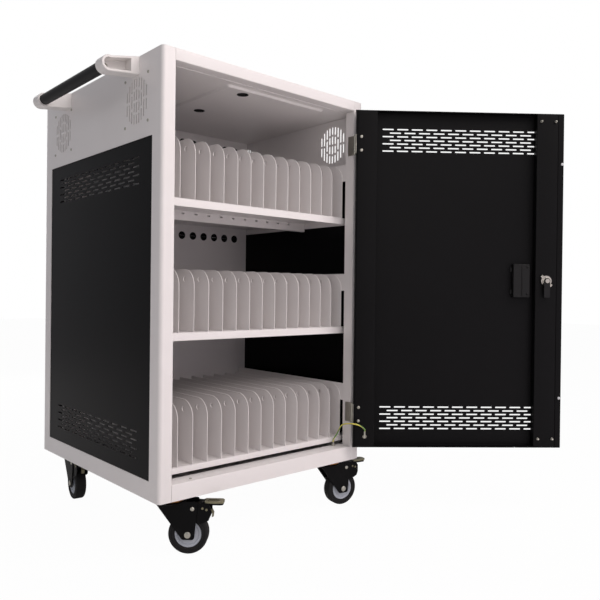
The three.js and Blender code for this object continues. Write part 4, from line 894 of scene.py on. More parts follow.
put("box_inlet", bm, BLACK_ABS, "cabinet")
bm = bmesh.new()
w, d, h = (side / 2 for side in ROCKER_SIZE)
rise = math.tan(-ROCKER_TILT) * h
outline = [
    (-d + rise - d, -h), (rise - 0.6, -h), (rise, -h + 0.8), (0.0, 0.0), (rise, h - 0.8), (rise - 0.6, h),
    (-d + rise - d, h), (-2 * d, 0.0),
]
plate(bm, "x", outline, -w, w)
bm.transform(Matrix.Translation((MID_X, BOX_FACE, ROCKER_Z)) @ Matrix.Translation((0, -d, 0))
             @ Matrix.Rotation(ROCKER_TILT, 4, "X") @ Matrix.Translation((0, d, 0)))
put("switch_rocker", bm, RED_ABS, "main_switch", ["power_switch"])


# Fans: moulded square frames screwed behind the grilles of the left side. The motor hub
# stands on four struts and carries a rotor with seven twisted blades; a round pad of
# filter fleece lies in the bore against the grille.
FAN_BORE_R, FAN_HUB_R = 56.0, 21.0
FAN_MOUNT, FAN_STRUT, FAN_TIP_GAP = 4.0, 6.0, 2.0
FAN_BLADES, BLADE_W, BLADE_TURN = 7, 15.0, 40.0
FAN_X1 = SHEET + FAN_D
FAN_SCREWS = [(a * 52.5, b * 52.5) for a in (-1, 1) for b in (-1, 1)]
FAN_SCREW_R, FAN_CORNER_R, FAN_SHAFT_R, FAN_HUB_BORE = 2.2, 6.0, 3.0, 3.4
BLADE_STATIONS, BLADE_CAMBER, BLADE_WASHOUT = 7, 1.2, 22.0
# Pale polyester fleece
FLEECE = finish("filter_fleece", "#cfcdca", "#bdbbb8", (0.9, 1.0), 0.7, 0.2, shine=0.1)


def lathe(bm, profile, steps, matrix):
    """Turns a closed (radius, height) outline about an axis; the matrix places it."""
    made = bmesh.new()
    rings = []
    for i in range(steps):
        t = 2 * math.pi * i / steps
        rings.append([made.verts.new((r * math.cos(t), r * math.sin(t), h)) for r, h in profile])
    for i in range(steps):
        one, two = rings[i], rings[(i + 1) % steps]
        for k in range(len(profile)):
            m = (k + 1) % len(profile)
            if max(profile[k][0], profile[m][0]) > 1e-6:
                made.faces.new((one[k], two[k], two[m], one[m]))
    bmesh.ops.remove_doubles(made, verts=made.verts, dist=0.001)
    bmesh.ops.dissolve_degenerate(made, edges=made.edges, dist=0.0005)
    made.transform(matrix)
    merge(bm, made)


TO_X = Matrix(((0, 0, 1, 0), (1, 0, 0, 0), (0, 1, 0, 0), (0, 0, 0, 1)))
TO_Y = Matrix(((1, 0, 0, 0), (0, 0, 1, 0), (0, -1, 0, 0), (0, 0, 0, 1)))

SPOKES, given = node_tree("copies_round_an_axis", (
    ("Form", "Object"), ("Count", "Int"), ("Material", "Material"),
))
tree = SPOKES
spots = add(tree, "GeometryNodePoints", {"Count": given["Count"]})
index = add(tree, "GeometryNodeInputIndex")
part = sums(tree, 2 * math.pi, given["Count"], "DIVIDE")
angle = sums(tree, index.outputs[0], part, "MULTIPLY")
spin = add(tree, "ShaderNodeCombineXYZ", {"Z": angle})
form = add(tree, "GeometryNodeObjectInfo", {"Object": given["Form"]})
many = add(tree, "GeometryNodeInstanceOnPoints", {
    "Points": spots.outputs[0], "Instance": form.outputs["Geometry"], "Rotation": spin.outputs[0],
})
deliver(tree, many.outputs[0], given["Material"])

blade_x = (SHEET + 2 * FAN_TIP_GAP, FAN_X1 - FAN_MOUNT - FAN_TIP_GAP)
blade_mid = sum(blade_x) / 2
bm = bmesh.new()
sections = []
half = BLADE_W / 2
for i in range(BLADE_STATIONS):
    r = FAN_HUB_R - 1.0 + (FAN_BORE_R - FAN_TIP_GAP - FAN_HUB_R + 0.6) * i / (BLADE_STATIONS - 1)
    pitch = math.radians(BLADE_TURN + 10 - BLADE_WASHOUT * i / (BLADE_STATIONS - 1))
    row = []
    for along, thick in ((-half, 0.2), (-half / 2, 0.9), (half / 2, 0.9), (half, 0.2),
                         (half / 2, -0.9), (-half / 2, -0.9)):
        camber = BLADE_CAMBER * (1 - (along / half) ** 2)
        a = along * math.cos(pitch) - (thick + camber) * math.sin(pitch)
        b = along * math.sin(pitch) + (thick + camber) * math.cos(pitch)
        lead = a / r
        row.append(bm.verts.new((r * math.cos(lead), r * math.sin(lead), b)))
    sections.append(row)
bridge(bm, sections)
bm.faces.new(sections[0])
bm.faces.new(list(reversed(sections[-1])))
blade = pattern("blade", bm)
for name, y in zip(("front", "rear"), GRILLE_Y):
    bm = bmesh.new()
    bore = ring(y, GRILLE_Z, FAN_BORE_R, 48)
    corners = [ring(y + a, GRILLE_Z + b, FAN_SCREW_R, 10) for a, b in FAN_SCREWS]
    square = centred(y, GRILLE_Z, FAN_SIZE / 2, FAN_SIZE / 2, FAN_CORNER_R, 4)
    plate(bm, "x", square, SHEET, FAN_X1, [bore, *corners])
    put(f"fan_housing_{name}", bm, BLACK_ABS, "cabinet", [f"fan_frame_{name}"])
    bm = bmesh.new()
    centre = Matrix.Translation((0, y, GRILLE_Z))
    x0 = FAN_X1 - FAN_MOUNT
    hub = [
        (FAN_HUB_BORE, x0), (FAN_HUB_R - 1, x0), (FAN_HUB_R, x0 + 1), (FAN_HUB_R, FAN_X1),
        (FAN_HUB_BORE, FAN_X1),
    ]
    lathe(bm, hub, 32, centre @ TO_X)
    for quarter in range(4):
        turn = centre @ Matrix.Rotation(quarter * math.pi / 2, 4, "X")
        strut = bmesh.new()
        slab(strut, (x0, FAN_X1), (FAN_HUB_R - 1, FAN_BORE_R + 1), (-FAN_STRUT / 2, FAN_STRUT / 2), 0.8)
        strut.transform(turn)
        merge(bm, strut)
    put(f"fan_motor_mount_{name}", bm, BLACK_ABS, "cabinet")
    bm = bmesh.new()
    r, x0 = FAN_BORE_R - 0.5, SHEET + 0.1
    pad = [(0, x0 + 0.3), (r - 3, x0 + 0.3), (r, x0), (r, x0 + 2.2), (r - 3, x0 + 1.8), (0, x0 + 1.8)]
    lathe(bm, pad, 48, centre @ TO_X)
    put(f"fan_filter_{name}", bm, FLEECE, "cabinet")
    bm = grow("blades", SPOKES, {"Form": blade, "Count": FAN_BLADES, "Material": BLACK_ABS})
    bm.transform(Matrix.Translation((blade_mid, y, GRILLE_Z)) @ TO_X)
    x0, x1 = blade_x
    rotor = [
        (0, x0), (FAN_HUB_R - 4, x0), (FAN_HUB_R - 1, x0 + 1.2), (FAN_HUB_R, x0 + 4), (FAN_HUB_R, x1),
        (FAN_SHAFT_R, x1), (FAN_SHAFT_R, FAN_X1), (0, FAN_X1),
    ]
    lathe(bm, rotor, 40, centre @ TO_X)
    put(f"fan_blades_{name}", bm, BLACK_ABS, f"rotor_{name}", [f"fan_rotor_{name}"])
bpy.data.objects.remove(blade)


# Push handle: two hollow moulded brackets with solid feet and a grip of grained plastic
# on a tube between them. A screw in each hollow holds the tube.
GRIP_R, GRIP_X, GRIP_Z = 13.3, -70.0, 939.0
BRACKET_R, BRACKET_W, BRACKET_WALL = 17.5, 35.0, 5.0
BRACKET_EDGE, FOOT_H, FOOT_D = 1.2, 40.0, 20.0
GRIP_BANDS, GRIP_SCREW_X, GRIP_SCREW_Z = 24, GRIP_X + 3.0, GRIP_Z + 1.0
BRACKET_Y = {"front": 100.0, "rear": BODY_D - 141.0 - BRACKET_W}


def bracket_outline(inset, root=0.0):
    """Side outline of a bracket (x, z), drawn in by inset; root keeps clear of the foot."""
    r = BRACKET_R - inset
    share = root / -GRIP_X
    low = BODY_H - FOOT_H + share * (GRIP_Z - BRACKET_R - BODY_H + FOOT_H) + inset
    high = BODY_H - share * (BODY_H - GRIP_Z - BRACKET_R) - inset
    return [(-root, low), (-root, high)] + arc(GRIP_X, GRIP_Z, r, 75, 270, 18)


for name, y0 in BRACKET_Y.items():
    y1 = y0 + BRACKET_W
    shut, mouth, way = (y1, y0, -1) if name == "front" else (y0, y1, 1)
    lip = way * BRACKET_EDGE
    bm = bmesh.new()
    outer, slim = bracket_outline(0.0), bracket_outline(BRACKET_EDGE)
    inner = bracket_outline(BRACKET_WALL, FOOT_D)
    bridge(bm, [
        fill(bm, "y", slim, [], shut)[0],
        loop(bm, "y", outer, shut + lip),
        loop(bm, "y", outer, mouth - lip),
        loop(bm, "y", slim, mouth),
        loop(bm, "y", inner, mouth),
        fill(bm, "y", inner, [], shut + way * BRACKET_WALL)[0],
    ])
    put(f"handle_bracket_moulding_{name}", bm, WHITE_ABS, "cabinet",
        [f"handle_bracket_{name}"])
grip_y = (BRACKET_Y["front"] + BRACKET_W, BRACKET_Y["rear"])
bm = bmesh.new()
length = grip_y[1] - grip_y[0]
profile = [(0, 0.1), (GRIP_R - 1.2, 0.1), (GRIP_R - 0.2, 0.8)]
for step in range(1, GRIP_BANDS):
    h = length * step / GRIP_BANDS
    profile += [(GRIP_R, h - 1.0), (GRIP_R, h + 1.0)]
profile += [(GRIP_R - 0.2, length - 0.8), (GRIP_R - 1.2, length - 0.1), (0, length - 0.1)]
lathe(bm, profile, 40, Matrix.Translation((GRIP_X, grip_y[0], GRIP_Z)) @ TO_Y)
put("handle_grip_sleeve", bm, BLACK_ABS, "cabinet", ["handle_grip"])


# Front door: a folded pan of black-coated sheet whose skin carries two slot bands and
# the opening of the pull cup. It hangs open on its hinges, inner face to the front.
DOOR_T, DOOR_GAP = 22.0, 3.0
DOOR_X = (STILE + DOOR_GAP, BODY_W - STILE - DOOR_GAP)
DOOR_Z = (SILL + 6.0, BODY_H - TOP_RAIL - 6.0)
STIFF_HINGE_W, STIFF_LOCK_W = 56.0, 60.0
DOOR_BAND_X, DOOR_BAND_INSET = 296.0, 42.5
DOOR_SLOT, DOOR_PITCH, DOOR_COLUMNS = 30.5, 39.5, 11
LIP, RIM, LIP_Y = 24.0, 7.5, (-3.5, -2.0)
CUP_X, LOCK_X, LATCH_Z = DOOR_X[0] + 95.0, DOOR_X[0] + 32.0, 490.0
CUP_SIZE = (45.0, 90.0)
# Matt black powder coat with a fine texture
BLACK_COAT = finish("powder_coat_black", "#0a0a0c", "#070708", (0.4, 0.58), 1.6, 0.05, shine=0.1)


def door_skin(columns, pitch, rows, band_x, inset, cut, material):
    """Pierced skin of a door pan, its outer face on y = 0 and looking to the front."""
    wide, tall = DOOR_X[1] - DOOR_X[0] - 2 * FOLD_R, DOOR_Z[1] - DOOR_Z[0] - 2 * FOLD_R
    mid_x, mid_z = sum(DOOR_X) / 2, sum(DOOR_Z) / 2
    band_h = (2 * rows - 2) * ROW_PITCH + SLOT_W
    reach = tall / 2 + FOLD_R - inset - band_h / 2
    bm = grow("door_skin", SLOTTED, {
        "Width": wide, "Height": tall, "Thickness": SHEET, "Slot Length": DOOR_SLOT, "Slot Width": SLOT_W,
        "Pitch": pitch, "Row Pitch": ROW_PITCH, "Columns": columns, "Long Rows": rows,
        "Band Centre X": band_x - mid_x, "Low Band Y": -reach, "High Band Y": reach,
        "Cut Width": cut[1], "Cut Height": cut[2], "Cut X": cut[0] - mid_x, "Cut Y": LATCH_Z - mid_z,
        "Material": material,
    })
    bm.transform(Matrix(((1, 0, 0, mid_x), (0, 0, -1, SHEET), (0, 1, 0, mid_z), (0, 0, 0, 1))))
    return bm


def edge_fold(low, high, depth):
    """Outlines of the two flanges at the ends of a pan, folded back by depth."""
    rise = (
        arc(FOLD_R, FOLD_R, FOLD_R, 270, 180, 4)
        + [(0.0, depth), (SHEET, depth), (SHEET, FOLD_R), (FOLD_R, SHEET)]
    )
    return [(low + a, b) for a, b in rise], [(high - a, b) for a, b in rise]


def door_flanges(bm):
    """The four flanges of the pan, as if its outer face lay on y = 0."""
    for outline in edge_fold(*DOOR_X, DOOR_T):
        plate(bm, "z", outline, *DOOR_Z)
    for outline in edge_fold(*DOOR_Z, DOOR_T):
        plate(bm, "x", [(b, a) for a, b in outline], *DOOR_X)


cup_hole = (CUP_X, CUP_SIZE[0] + 0.6, CUP_SIZE[1] + 0.6)
bm = door_skin(DOOR_COLUMNS, DOOR_PITCH, LONG_ROWS, DOOR_BAND_X, DOOR_BAND_INSET, cup_hole, BLACK_COAT)
door_flanges(bm)
put("door_pan", bm, BLACK_COAT, "front_door", ["door_panel"], SWING)
bm = bmesh.new()
x0, x1, z0, z1 = *DOOR_X, *DOOR_Z
for lip in (
    oblong(x0 - LIP, x0 + FOLD_R, z0 - RIM, z1 + RIM, 1.5, 3),
    oblong(x0 + FOLD_R, x1, z0 - RIM, z0 + FOLD_R, 0.5, 2),
    oblong(x0 + FOLD_R, x1, z1 - FOLD_R, z1 + RIM, 0.5, 2),
):
    plate(bm, "y", lip, *LIP_Y)
for x, z in (((x0, x0 + SHEET), (z0, z1)), ((x0, x1), (z0, z0 + SHEET)), ((x0, x1), (z1 - SHEET, z1))):
    slab(bm, x, (LIP_Y[0], FOLD_R), z, 0)
put("door_rim", bm, BLACK_COAT, "front_door", (), SWING)


# Stiffening channels: folded strips spot-welded inside both upright edges of the door.
# The one at the free edge carries the lock.
def channel(x0, x1):
    """A shallow channel with its web on the inner face of the door."""
    bm = bmesh.new()
    z0, z1 = DOOR_Z[0] + SHEET + 0.3, DOOR_Z[1] - SHEET - 0.3
    low, top = SHEET + 0.3, DOOR_T
    outline = (
        [(x0, low)] + arc(x0 + FOLD_R, top - FOLD_R, FOLD_R, 180, 90, 4)
        + arc(x1 - FOLD_R, top - FOLD_R, FOLD_R, 90, 0, 4)
        + [(x1, low), (x1 - SHEET, low), (x1 - SHEET, top - SHEET), (x0 + SHEET, top - SHEET),
           (x0 + SHEET, low)]
    )
    plate(bm, "z", outline, z0, z1)
    return bm


put("door_channel_hinge", channel(DOOR_X[1] - STIFF_HINGE_W, DOOR_X[1] - SHEET - 0.3), BLACK_COAT,
    "front_door", ["door_stiffener_hinge"], SWING)
put("door_channel_lock", channel(DOOR_X[0] + SHEET + 0.3, DOOR_X[0] + STIFF_LOCK_W), BLACK_COAT,
    "front_door", ["door_stiffener_lock"], SWING)


# Pull cup: a moulded finger box pushed through the skin from outside. Its rim lies on
# the outer face; the back of the box, with a rib and two clips, shows inside.
CUP_D, CUP_WALL, CUP_RIM = 17.0, 2.0, 4.0
CUP_SCREW_X, CUP_SCREW_Z = CUP_X - 16.0, (LATCH_Z - 36, LATCH_Z + 36)


def cup_outline(grow_by, r):
    """The cup's outline (x, z), larger or smaller by a margin."""
    return centred(CUP_X, LATCH_Z, CUP_SIZE[0] / 2 + grow_by, CUP_SIZE[1] / 2 + grow_by, r, 4)


bm = bmesh.new()
bridge(bm, [
    fill(bm, "y", cup_outline(-CUP_WALL - 1.5, 3.0), [], CUP_D - CUP_WALL)[0],
    *(loop(bm, "y", cup_outline(margin, r), y) for y, margin, r in (
        (CUP_D - CUP_WALL - 2.5, -CUP_WALL, 4.0), (-1.4, -CUP_WALL, 4.0), (-1.8, -CUP_WALL + 0.6, 4.4),
        (-1.8, CUP_RIM - 0.8, 5.2), (-1.2, CUP_RIM, 6.0), (-0.3, CUP_RIM, 6.0), (-0.3, 0.0, 3.0),
        (CUP_D - 1.2, 0.0, 3.0),
    )),
    fill(bm, "y", cup_outline(-1.2, 2.0), [], CUP_D)[0],
])
slab(bm, (CUP_X - 3, CUP_X - 0.5), (CUP_D - 0.2, CUP_D + 1.6), (LATCH_Z - 40, LATCH_Z + 40), 0.5)
for z in (LATCH_Z - 30, LATCH_Z + 30):
    slab(bm, (CUP_X + 17, CUP_X + 27), (SHEET + 0.2, SHEET + 3.2), (z - 6, z + 6), 0.6)
put("pull_cup_moulding", bm, BLACK_ABS, "front_door", ["pull_cup"], SWING)


# Cam lock: a chromed cylinder through skin and channel, held by a hex nut inside, with
# a two-pronged stop washer behind the dark steel cam. The key goes in from outside.
LOCK_R, LOCK_HEAD_R, NUT_R = 9.5, 13.0, 14.0
CAM_Y, CAM_T, CAM_W, CAM_L, CAM_CORNER = RETURN + 1.0, 2.5, 16.0, 44.5, 3.0
NUT_Y, WASHER_Y = DOOR_T + 0.3, DOOR_T + 4.5
# Bright chrome on a die casting, and black-oxidised steel
CHROME = finish("chrome_on_zinc_casting", "#b3b0a6", "#a3a098", (0.2, 0.32), 1.0, 0.01, metal=1.0)
BLACK_OXIDE = finish("black_oxide_steel", "#161617", "#101011", (0.35, 0.5), 1.0, 0.02, metal=0.6)


def cam_outline(x, half, steps):
    """A cam that hangs from its axis at x (x, z): round above, corners eased below."""
    z = LATCH_Z - CAM_L + CAM_CORNER
    return (
        arc(x, LATCH_Z, half, 0, 180, steps)
        + arc(x - half + CAM_CORNER, z, CAM_CORNER, 180, 270, 4)
        + arc(x + half - CAM_CORNER, z, CAM_CORNER, 270, 360, 4)
    )


lock_at = Matrix.Translation((LOCK_X, 0, LATCH_Z))
bm = bmesh.new()
lathe(bm, [
    (0.0, -2.2), (4.6, -2.2), (5.0, -2.5), (6.4, -2.5), (6.8, -3.3), (LOCK_HEAD_R - 1, -3.0),
    (LOCK_HEAD_R, -2.0), (LOCK_HEAD_R, -0.3), (LOCK_R, -0.3), (LOCK_R, CAM_Y - 0.6),
    (LOCK_R - 0.6, CAM_Y - 0.3), (4.0, CAM_Y - 0.3), (4.0, CAM_Y + CAM_T + 0.3), (6.0, CAM_Y + CAM_T + 0.3),
    (6.0, CAM_Y + CAM_T + 2.4), (5.4, CAM_Y + CAM_T + 3.0), (0.0, CAM_Y + CAM_T + 3.0),
], 48, lock_at @ TO_Y)
nut, washer = ring(LOCK_X, LATCH_Z, NUT_R, 6), ring(LOCK_X, LATCH_Z, LOCK_R + 4.5, 32)
plate(bm, "y", nut, NUT_Y, DOOR_T + 4.3, [ring(LOCK_X, LATCH_Z, LOCK_R, 24)])
plate(bm, "y", washer, WASHER_Y, DOOR_T + 6.0, [ring(LOCK_X, LATCH_Z, LOCK_R + 0.1, 24)])
for angle in (135.0, -45.0):
    prong = bmesh.new()
    slab(prong, (LOCK_R + 2.0, LOCK_R + 10.0), (WASHER_Y, DOOR_T + 7.6), (-3.5, 3.5), 0.6)
    prong.transform(lock_at @ Matrix.Rotation(math.radians(angle), 4, "Y"))
    merge(bm, prong)
slab(bm, (LOCK_X - 0.8, LOCK_X + 0.8), (-2.5, -2.1), (LATCH_Z - 4.0, LATCH_Z + 4.0), 0.15)
put("lock_cylinder", bm, CHROME, "front_door", ["lock_body"], SWING)
bm = bmesh.new()
cam_bore = [ring(LOCK_X, LATCH_Z, 4.4, 20)]
plate(bm, "y", cam_outline(LOCK_X, CAM_W / 2, 16), CAM_Y, CAM_Y + CAM_T, cam_bore)
put("lock_cam_blade", bm, BLACK_OXIDE, "front_lock_cam", ["lock_cam"], SWING)


# Butt hinges of zinc-plated steel: one leaf with the pin on the return of the right
# side, the other with the middle knuckle on the edge of the door.
KNUCKLE_R, PIN_R, LEAF_T, LEAF_D, HINGE_H = 4.0, 2.0, 1.2, 20.0, 52.0
HINGE_SCREW_X, HINGE_SCREWS = DOOR_X[1] - 13.0, (HINGE_H / 2 - 18, HINGE_H / 2 + 18)
HINGES = {"lower": DOOR_Z[0] + 60.5, "upper": DOOR_Z[1] - 62.0 - HINGE_H}
# Zinc-plated steel: cloudy passivated bloom, no grain direction
ZINC = finish("zinc_plated_steel", "#bfbdb4", "#a7a69c", (0.24, 0.42), 1.2, 0.02, metal=1.0)


def barrel(bm, z0, z1, r, bore):
    """A knuckle or pin on the hinge axis with eased ends."""
    profile = [(bore, z0), (r - 0.4, z0), (r, z0 + 0.4), (r, z1 - 0.4), (r - 0.4, z1), (bore, z1)]
    lathe(bm, profile, 28, Matrix.Translation((*HINGE, 0)))


for name, z0 in HINGES.items():
    z1, third = z0 + HINGE_H, HINGE_H / 3
    bm = bmesh.new()
    x1 = BODY_W - STILE
    plate(bm, "x", oblong(HINGE[1] + 1.0, LEAF_D, z0, z1, 0.9, 2), x1 - LEAF_T, x1 - 0.02)
    barrel(bm, z0, z0 + third - 0.3, KNUCKLE_R, PIN_R - 0.1)
    barrel(bm, z1 - third + 0.3, z1, KNUCKLE_R, PIN_R - 0.1)
    barrel(bm, z0, z1, PIN_R, 0.0)
    put(f"hinge_frame_leaf_{name}", bm, ZINC, "cabinet", [f"hinge_leaf_{name}"])
    bm = bmesh.new()
    x0 = DOOR_X[1] + 0.3
    plate(bm, "x", oblong(HINGE[1] + KNUCKLE_R + 0.4, LEAF_D, z0, z1, 1.5, 3), x0, x0 + LEAF_T)
    plate(bm, "x", oblong(HINGE[1] + 1.0, 4.0, z0 + third, z1 - third, 0.5, 2), x0, x0 + LEAF_T)
    barrel(bm, z0 + third, z1 - third, KNUCKLE_R, PIN_R + 0.4)
    put(f"hinge_door_leaf_{name}", bm, ZINC, "front_door", [f"hinge_knuckle_{name}"], SWING)


# Rear door: a plain white pan on two pivot pins, with one row of slots above and below
# and a cam lock of its own. It closes the rear compartment.
PIVOT, PIVOT_R, PIVOT_OUT, PIVOT_BLOCK = (44.0, 640.0), 3.0, 7.5, 6.0
REAR_LOCK_X, REAR_LOCK_HOLE = DOOR_X[1] - 32.0, 19.8
REAR_BAND_INSET, REAR_PITCH, REAR_COLUMNS = 52.0, 76.4, 6
flip = Matrix(((1, 0, 0, 0), (0, -1, 0, BODY_D), (0, 0, 1, 0), (0, 0, 0, 1)))
lock_hole = (REAR_LOCK_X, REAR_LOCK_HOLE, REAR_LOCK_HOLE)
bm = door_skin(REAR_COLUMNS, REAR_PITCH, 1, MID_X, REAR_BAND_INSET, lock_hole, WHITE_COAT)
door_flanges(bm)
bm.transform(flip)
for z, way in zip(DOOR_Z, (-1, 1)):
    inside = z - way * DOOR_T
    low, high = sorted((inside, z))
    slab(bm, (DOOR_X[0] + SHEET, PIVOT[0] + PIVOT_BLOCK), (BODY_D - DOOR_T, BODY_D - SHEET),
         (low + 0.1, high - 0.1), 1.0)
    low, high = sorted((inside, z + way * PIVOT_OUT))
    lathe(bm, [(0, low), (PIVOT_R, low), (PIVOT_R, high - 0.6), (PIVOT_R - 0.6, high), (0, high)], 24,
          Matrix.Translation((*PIVOT, 0)))
put("rear_door_pan", bm, WHITE_COAT, "rear_door", ["rear_door_panel"])
bm = bmesh.new()
rear_cam_y = BODY_D - CAM_Y - CAM_T
rear_axis = Matrix.Translation((REAR_LOCK_X, 0, LATCH_Z)) @ TO_Y
lathe(bm, [
    (0, rear_cam_y), (LOCK_R, rear_cam_y), (LOCK_R, BODY_D + 0.3), (LOCK_HEAD_R, BODY_D + 0.3),
    (LOCK_HEAD_R, BODY_D + 2.2), (LOCK_HEAD_R - 1, BODY_D + 3.3), (6.8, BODY_D + 3.3), (6.4, BODY_D + 2.6),
    (0, BODY_D + 2.6),
], 40, rear_axis)
plate(bm, "y", cam_outline(REAR_LOCK_X, LOCK_R, 14), rear_cam_y, rear_cam_y + CAM_T)
put("rear_lock", bm, CHROME, "rear_lock", ["rear_lock_cam"])


# Earth points: a stud with a washer and nut on the sill ledge, and a crimped ring
# terminal screwed to the door. Both are zinc plated and left free of paint.
STUD_AT = (552.0, 34.0)
RING_AT = (551.0, 22.3, 70.0)
bm = bmesh.new()
lathe(bm, [
    (0, SILL), (5.5, SILL), (5.5, SILL + 1.4), (4.9, SILL + 2.0), (3.0, SILL + 2.0), (3.0, SILL + 9.4),
    (2.4, SILL + 10), (0, SILL + 10),
], 24, Matrix.Translation((*STUD_AT, 0)))
plate(bm, "z", ring(*STUD_AT, 5.4, 6), SILL + 2.0, SILL + 5.6, [ring(*STUD_AT, 2.9, 16)])
put("sill_stud", bm, ZINC, "cabinet", ["earth_stud"])
bm = bmesh.new()
plate(bm, "y", ring(RING_AT[0], RING_AT[2], 5.0, 28), RING_AT[1], RING_AT[1] + 1.2)
lathe(bm, [
    (0, 72.5), (2.3, 72.5), (2.6, 73.2), (2.6, 76.5), (2.2, 78.0), (2.6, 79.5), (2.6, 83.4), (2.1, 84.0),
    (0, 84.0),
], 24, Matrix.Translation((RING_AT[0], RING_AT[1] + 2.6, 0)))
ring_screw = [(0, 1.2), (3.6, 1.2), (3.6, 2.4), (2.6, 3.6), (0, 3.8)]
lathe(bm, ring_screw, 24, Matrix.Translation(RING_AT) @ TO_Y)
put("door_ring_terminal", bm, ZINC, "front_door", ["ring_terminal"], SWING)


# Casters: a plated top plate with its bearing race, a pressed black fork, a grey hub
# with a rubber tyre, and a black brake lever between the legs with a plated tread and a
# plated hook. All four are alike.
CASTER_H, PLATE_HALF, RACE_R = 130.0, (48.0, 40.0), 27.0
CROWN_R, CROWN_TOP, CROWN_T, TRAIL = 33.0, -12.3, 5.0, 40.0
TYRE_R, TYRE_W, HUB_R, HUB_W, AXLE_R = 44.5, 28.0, 30.0, 24.0, 4.0
AXLE_Z = -(CASTER_H - TYRE_R)
LEG_Y, LEG_T, LEG_BACK, LEG_FRONT = 16.0, 2.5, 31.0, 60.0
LEG_END_W, LEG_TOE, LEG_CORNER = 30.0, 11.0, 6.0
PEDAL_PIN, PEDAL_TIP, PEDAL_TOP, PEDAL_T, PEDAL_HALF = (50.0, -28.0), 119.0, -13.0, 9.0, 13.0
PAD_X, PAD_CLEAR, TREAD_T = 60.0, 3.9, 4.0
CHEEK_Y, SKIRT_Y, CROWN_CLEAR = (11.5, 15.0), (14.4, 15.6), 0.6
CASTER_BOLTS = [(x, y) for x in (-35, 35) for y in (-28, 28)]
PLATE_THICK, BOLT_HOLE = 3.0, (6.0, 4.2)
CASTERS = {
    "front_left": (64.0, 54.0, -43.0), "front_right": (BODY_W - 64.0, 54.0, -12.0),
    "rear_left": (64.0, BODY_D - 54.0, -97.0), "rear_right": (BODY_W - 64.0, BODY_D - 54.0, 150.0),
}
# Dyed rubber, dusty where it has rolled, and zinc plate with a yellow chromate
TREAD = finish("tread_rubber", "#171718", "#111112", (0.6, 0.85), 1.4, 0.12, shine=0.3)
YELLOW_ZINC = finish("yellow_passivated_zinc", "#c98a3e", "#a87034", (0.28, 0.45), 1.2, 0.02, metal=1.0)
# Moulded polypropylene of the hub, light grey with a faint blue
GREY_PP = finish("polypropylene_grey", "#b7bdc6", "#abb1ba", (0.4, 0.52), 1.0, 0.04)
# The tread has a duller, olive passivation
OLIVE_ZINC = finish("olive_passivated_zinc", "#8f8b72", "#77745f", (0.35, 0.5), 1.2, 0.02, metal=0.8)
pad_z = AXLE_Z + math.sqrt(TYRE_R ** 2 - (PAD_X - TRAIL) ** 2) + PAD_CLEAR


def caster_plate():
    """Top plate with slotted bolt holes, bearing race and the head of the kingpin."""
    bm = bmesh.new()
    holes = [centred(x, y, *BOLT_HOLE, 4.1, 4) for x, y in CASTER_BOLTS]
    plate(bm, "z", centred(0, 0, *PLATE_HALF, 8.0, 5), -PLATE_THICK, -0.02, holes)
    race = [
        (0, -3), (RACE_R - 4, -3), (RACE_R, -6), (CROWN_R - 2, -7), (CROWN_R - 1, -9), (CROWN_R - 2.5, -12),
        (0, -12),
    ]
    lathe(bm, race, 40, Matrix.Identity(4))
    end = CROWN_TOP - CROWN_T
    kingpin = [
        (0, -3), (6, -3), (6, end - 0.3), (9, end - 0.3), (9, end - 2.4), (8.4, end - 3), (0, end - 3),
    ]
    lathe(bm, kingpin, 24, Matrix.Identity(4))
    return bm


def caster_fork():
    """Pressed fork: a crown, two tapered legs and the bridge behind them."""
    bm = bmesh.new()
    low = CROWN_TOP - CROWN_T
    lathe(bm, [
        (6.4, low), (CROWN_R - 1.5, low), (CROWN_R, low + 1.5), (CROWN_R, CROWN_TOP - 2),
        (CROWN_R - 2, CROWN_TOP), (6.4, CROWN_TOP),
    ], 48, Matrix.Identity(4))
    outer = LEG_Y + LEG_T
    corner_z = AXLE_Z - LEG_TOE + LEG_CORNER
    half = LEG_END_W / 2 - LEG_CORNER
    outline = (
        [(-LEG_BACK, low), (-LEG_BACK, CROWN_TOP - 1.5), (-LEG_BACK + 1.5, CROWN_TOP)]
        + [(LEG_FRONT - 4, CROWN_TOP)] + arc(LEG_FRONT - 4, CROWN_TOP - 4, 4, 80, 0, 3)
        + [(LEG_FRONT, PEDAL_PIN[1] - 6)] + arc(TRAIL + half, corner_z, LEG_CORNER, 0, -90, 5)
        + arc(TRAIL - half, corner_z, LEG_CORNER, -90, -150, 5)
    )
    for side in (1, -1):
        leg = bmesh.new()
        plate(leg, "y", outline, *sorted((side * LEG_Y, side * outer)), [ring(TRAIL, AXLE_Z, AXLE_R, 16)])
        rim = [
            e for e in leg.edges if all(abs(v.co.y - side * outer) < 1e-4 for v in e.verts)
            and len(e.link_faces) == 2 and e.calc_face_angle(0) > 1.0
        ]
        bmesh.ops.bevel(leg, geom=rim, offset=0.9, segments=2, profile=0.5, affect="EDGES")
        merge(bm, leg)
    slab(bm, (-LEG_BACK, 8.0), (-outer, outer), (low, CROWN_TOP), 1.2)
    return bm


def both_ends(half):
    """A turned outline with two like ends, from the half of it at one end."""
    return half + [(r, -h) for r, h in reversed(half)]


def caster_bolts():
    """Axle bolt and brake pin with their heads and nuts."""
    bm = bmesh.new()
    outer = LEG_Y + LEG_T
    axle = Matrix.Translation((TRAIL, 0, AXLE_Z)) @ TO_Y
    bolt = [(0, -outer - 3), (4.6, -outer - 3), (7, -outer - 1.6), (7, -outer), (AXLE_R, -outer)]
    lathe(bm, both_ends(bolt), 24, axle)
    pin = Matrix.Translation((PEDAL_PIN[0], 0, PEDAL_PIN[1])) @ TO_Y
    rivet = [(0, -outer - 1.6), (3, -outer - 1.6), (4.6, -outer - 0.5), (4.6, -outer), (3, -outer)]
    lathe(bm, both_ends(rivet), 20, pin)
    return bm


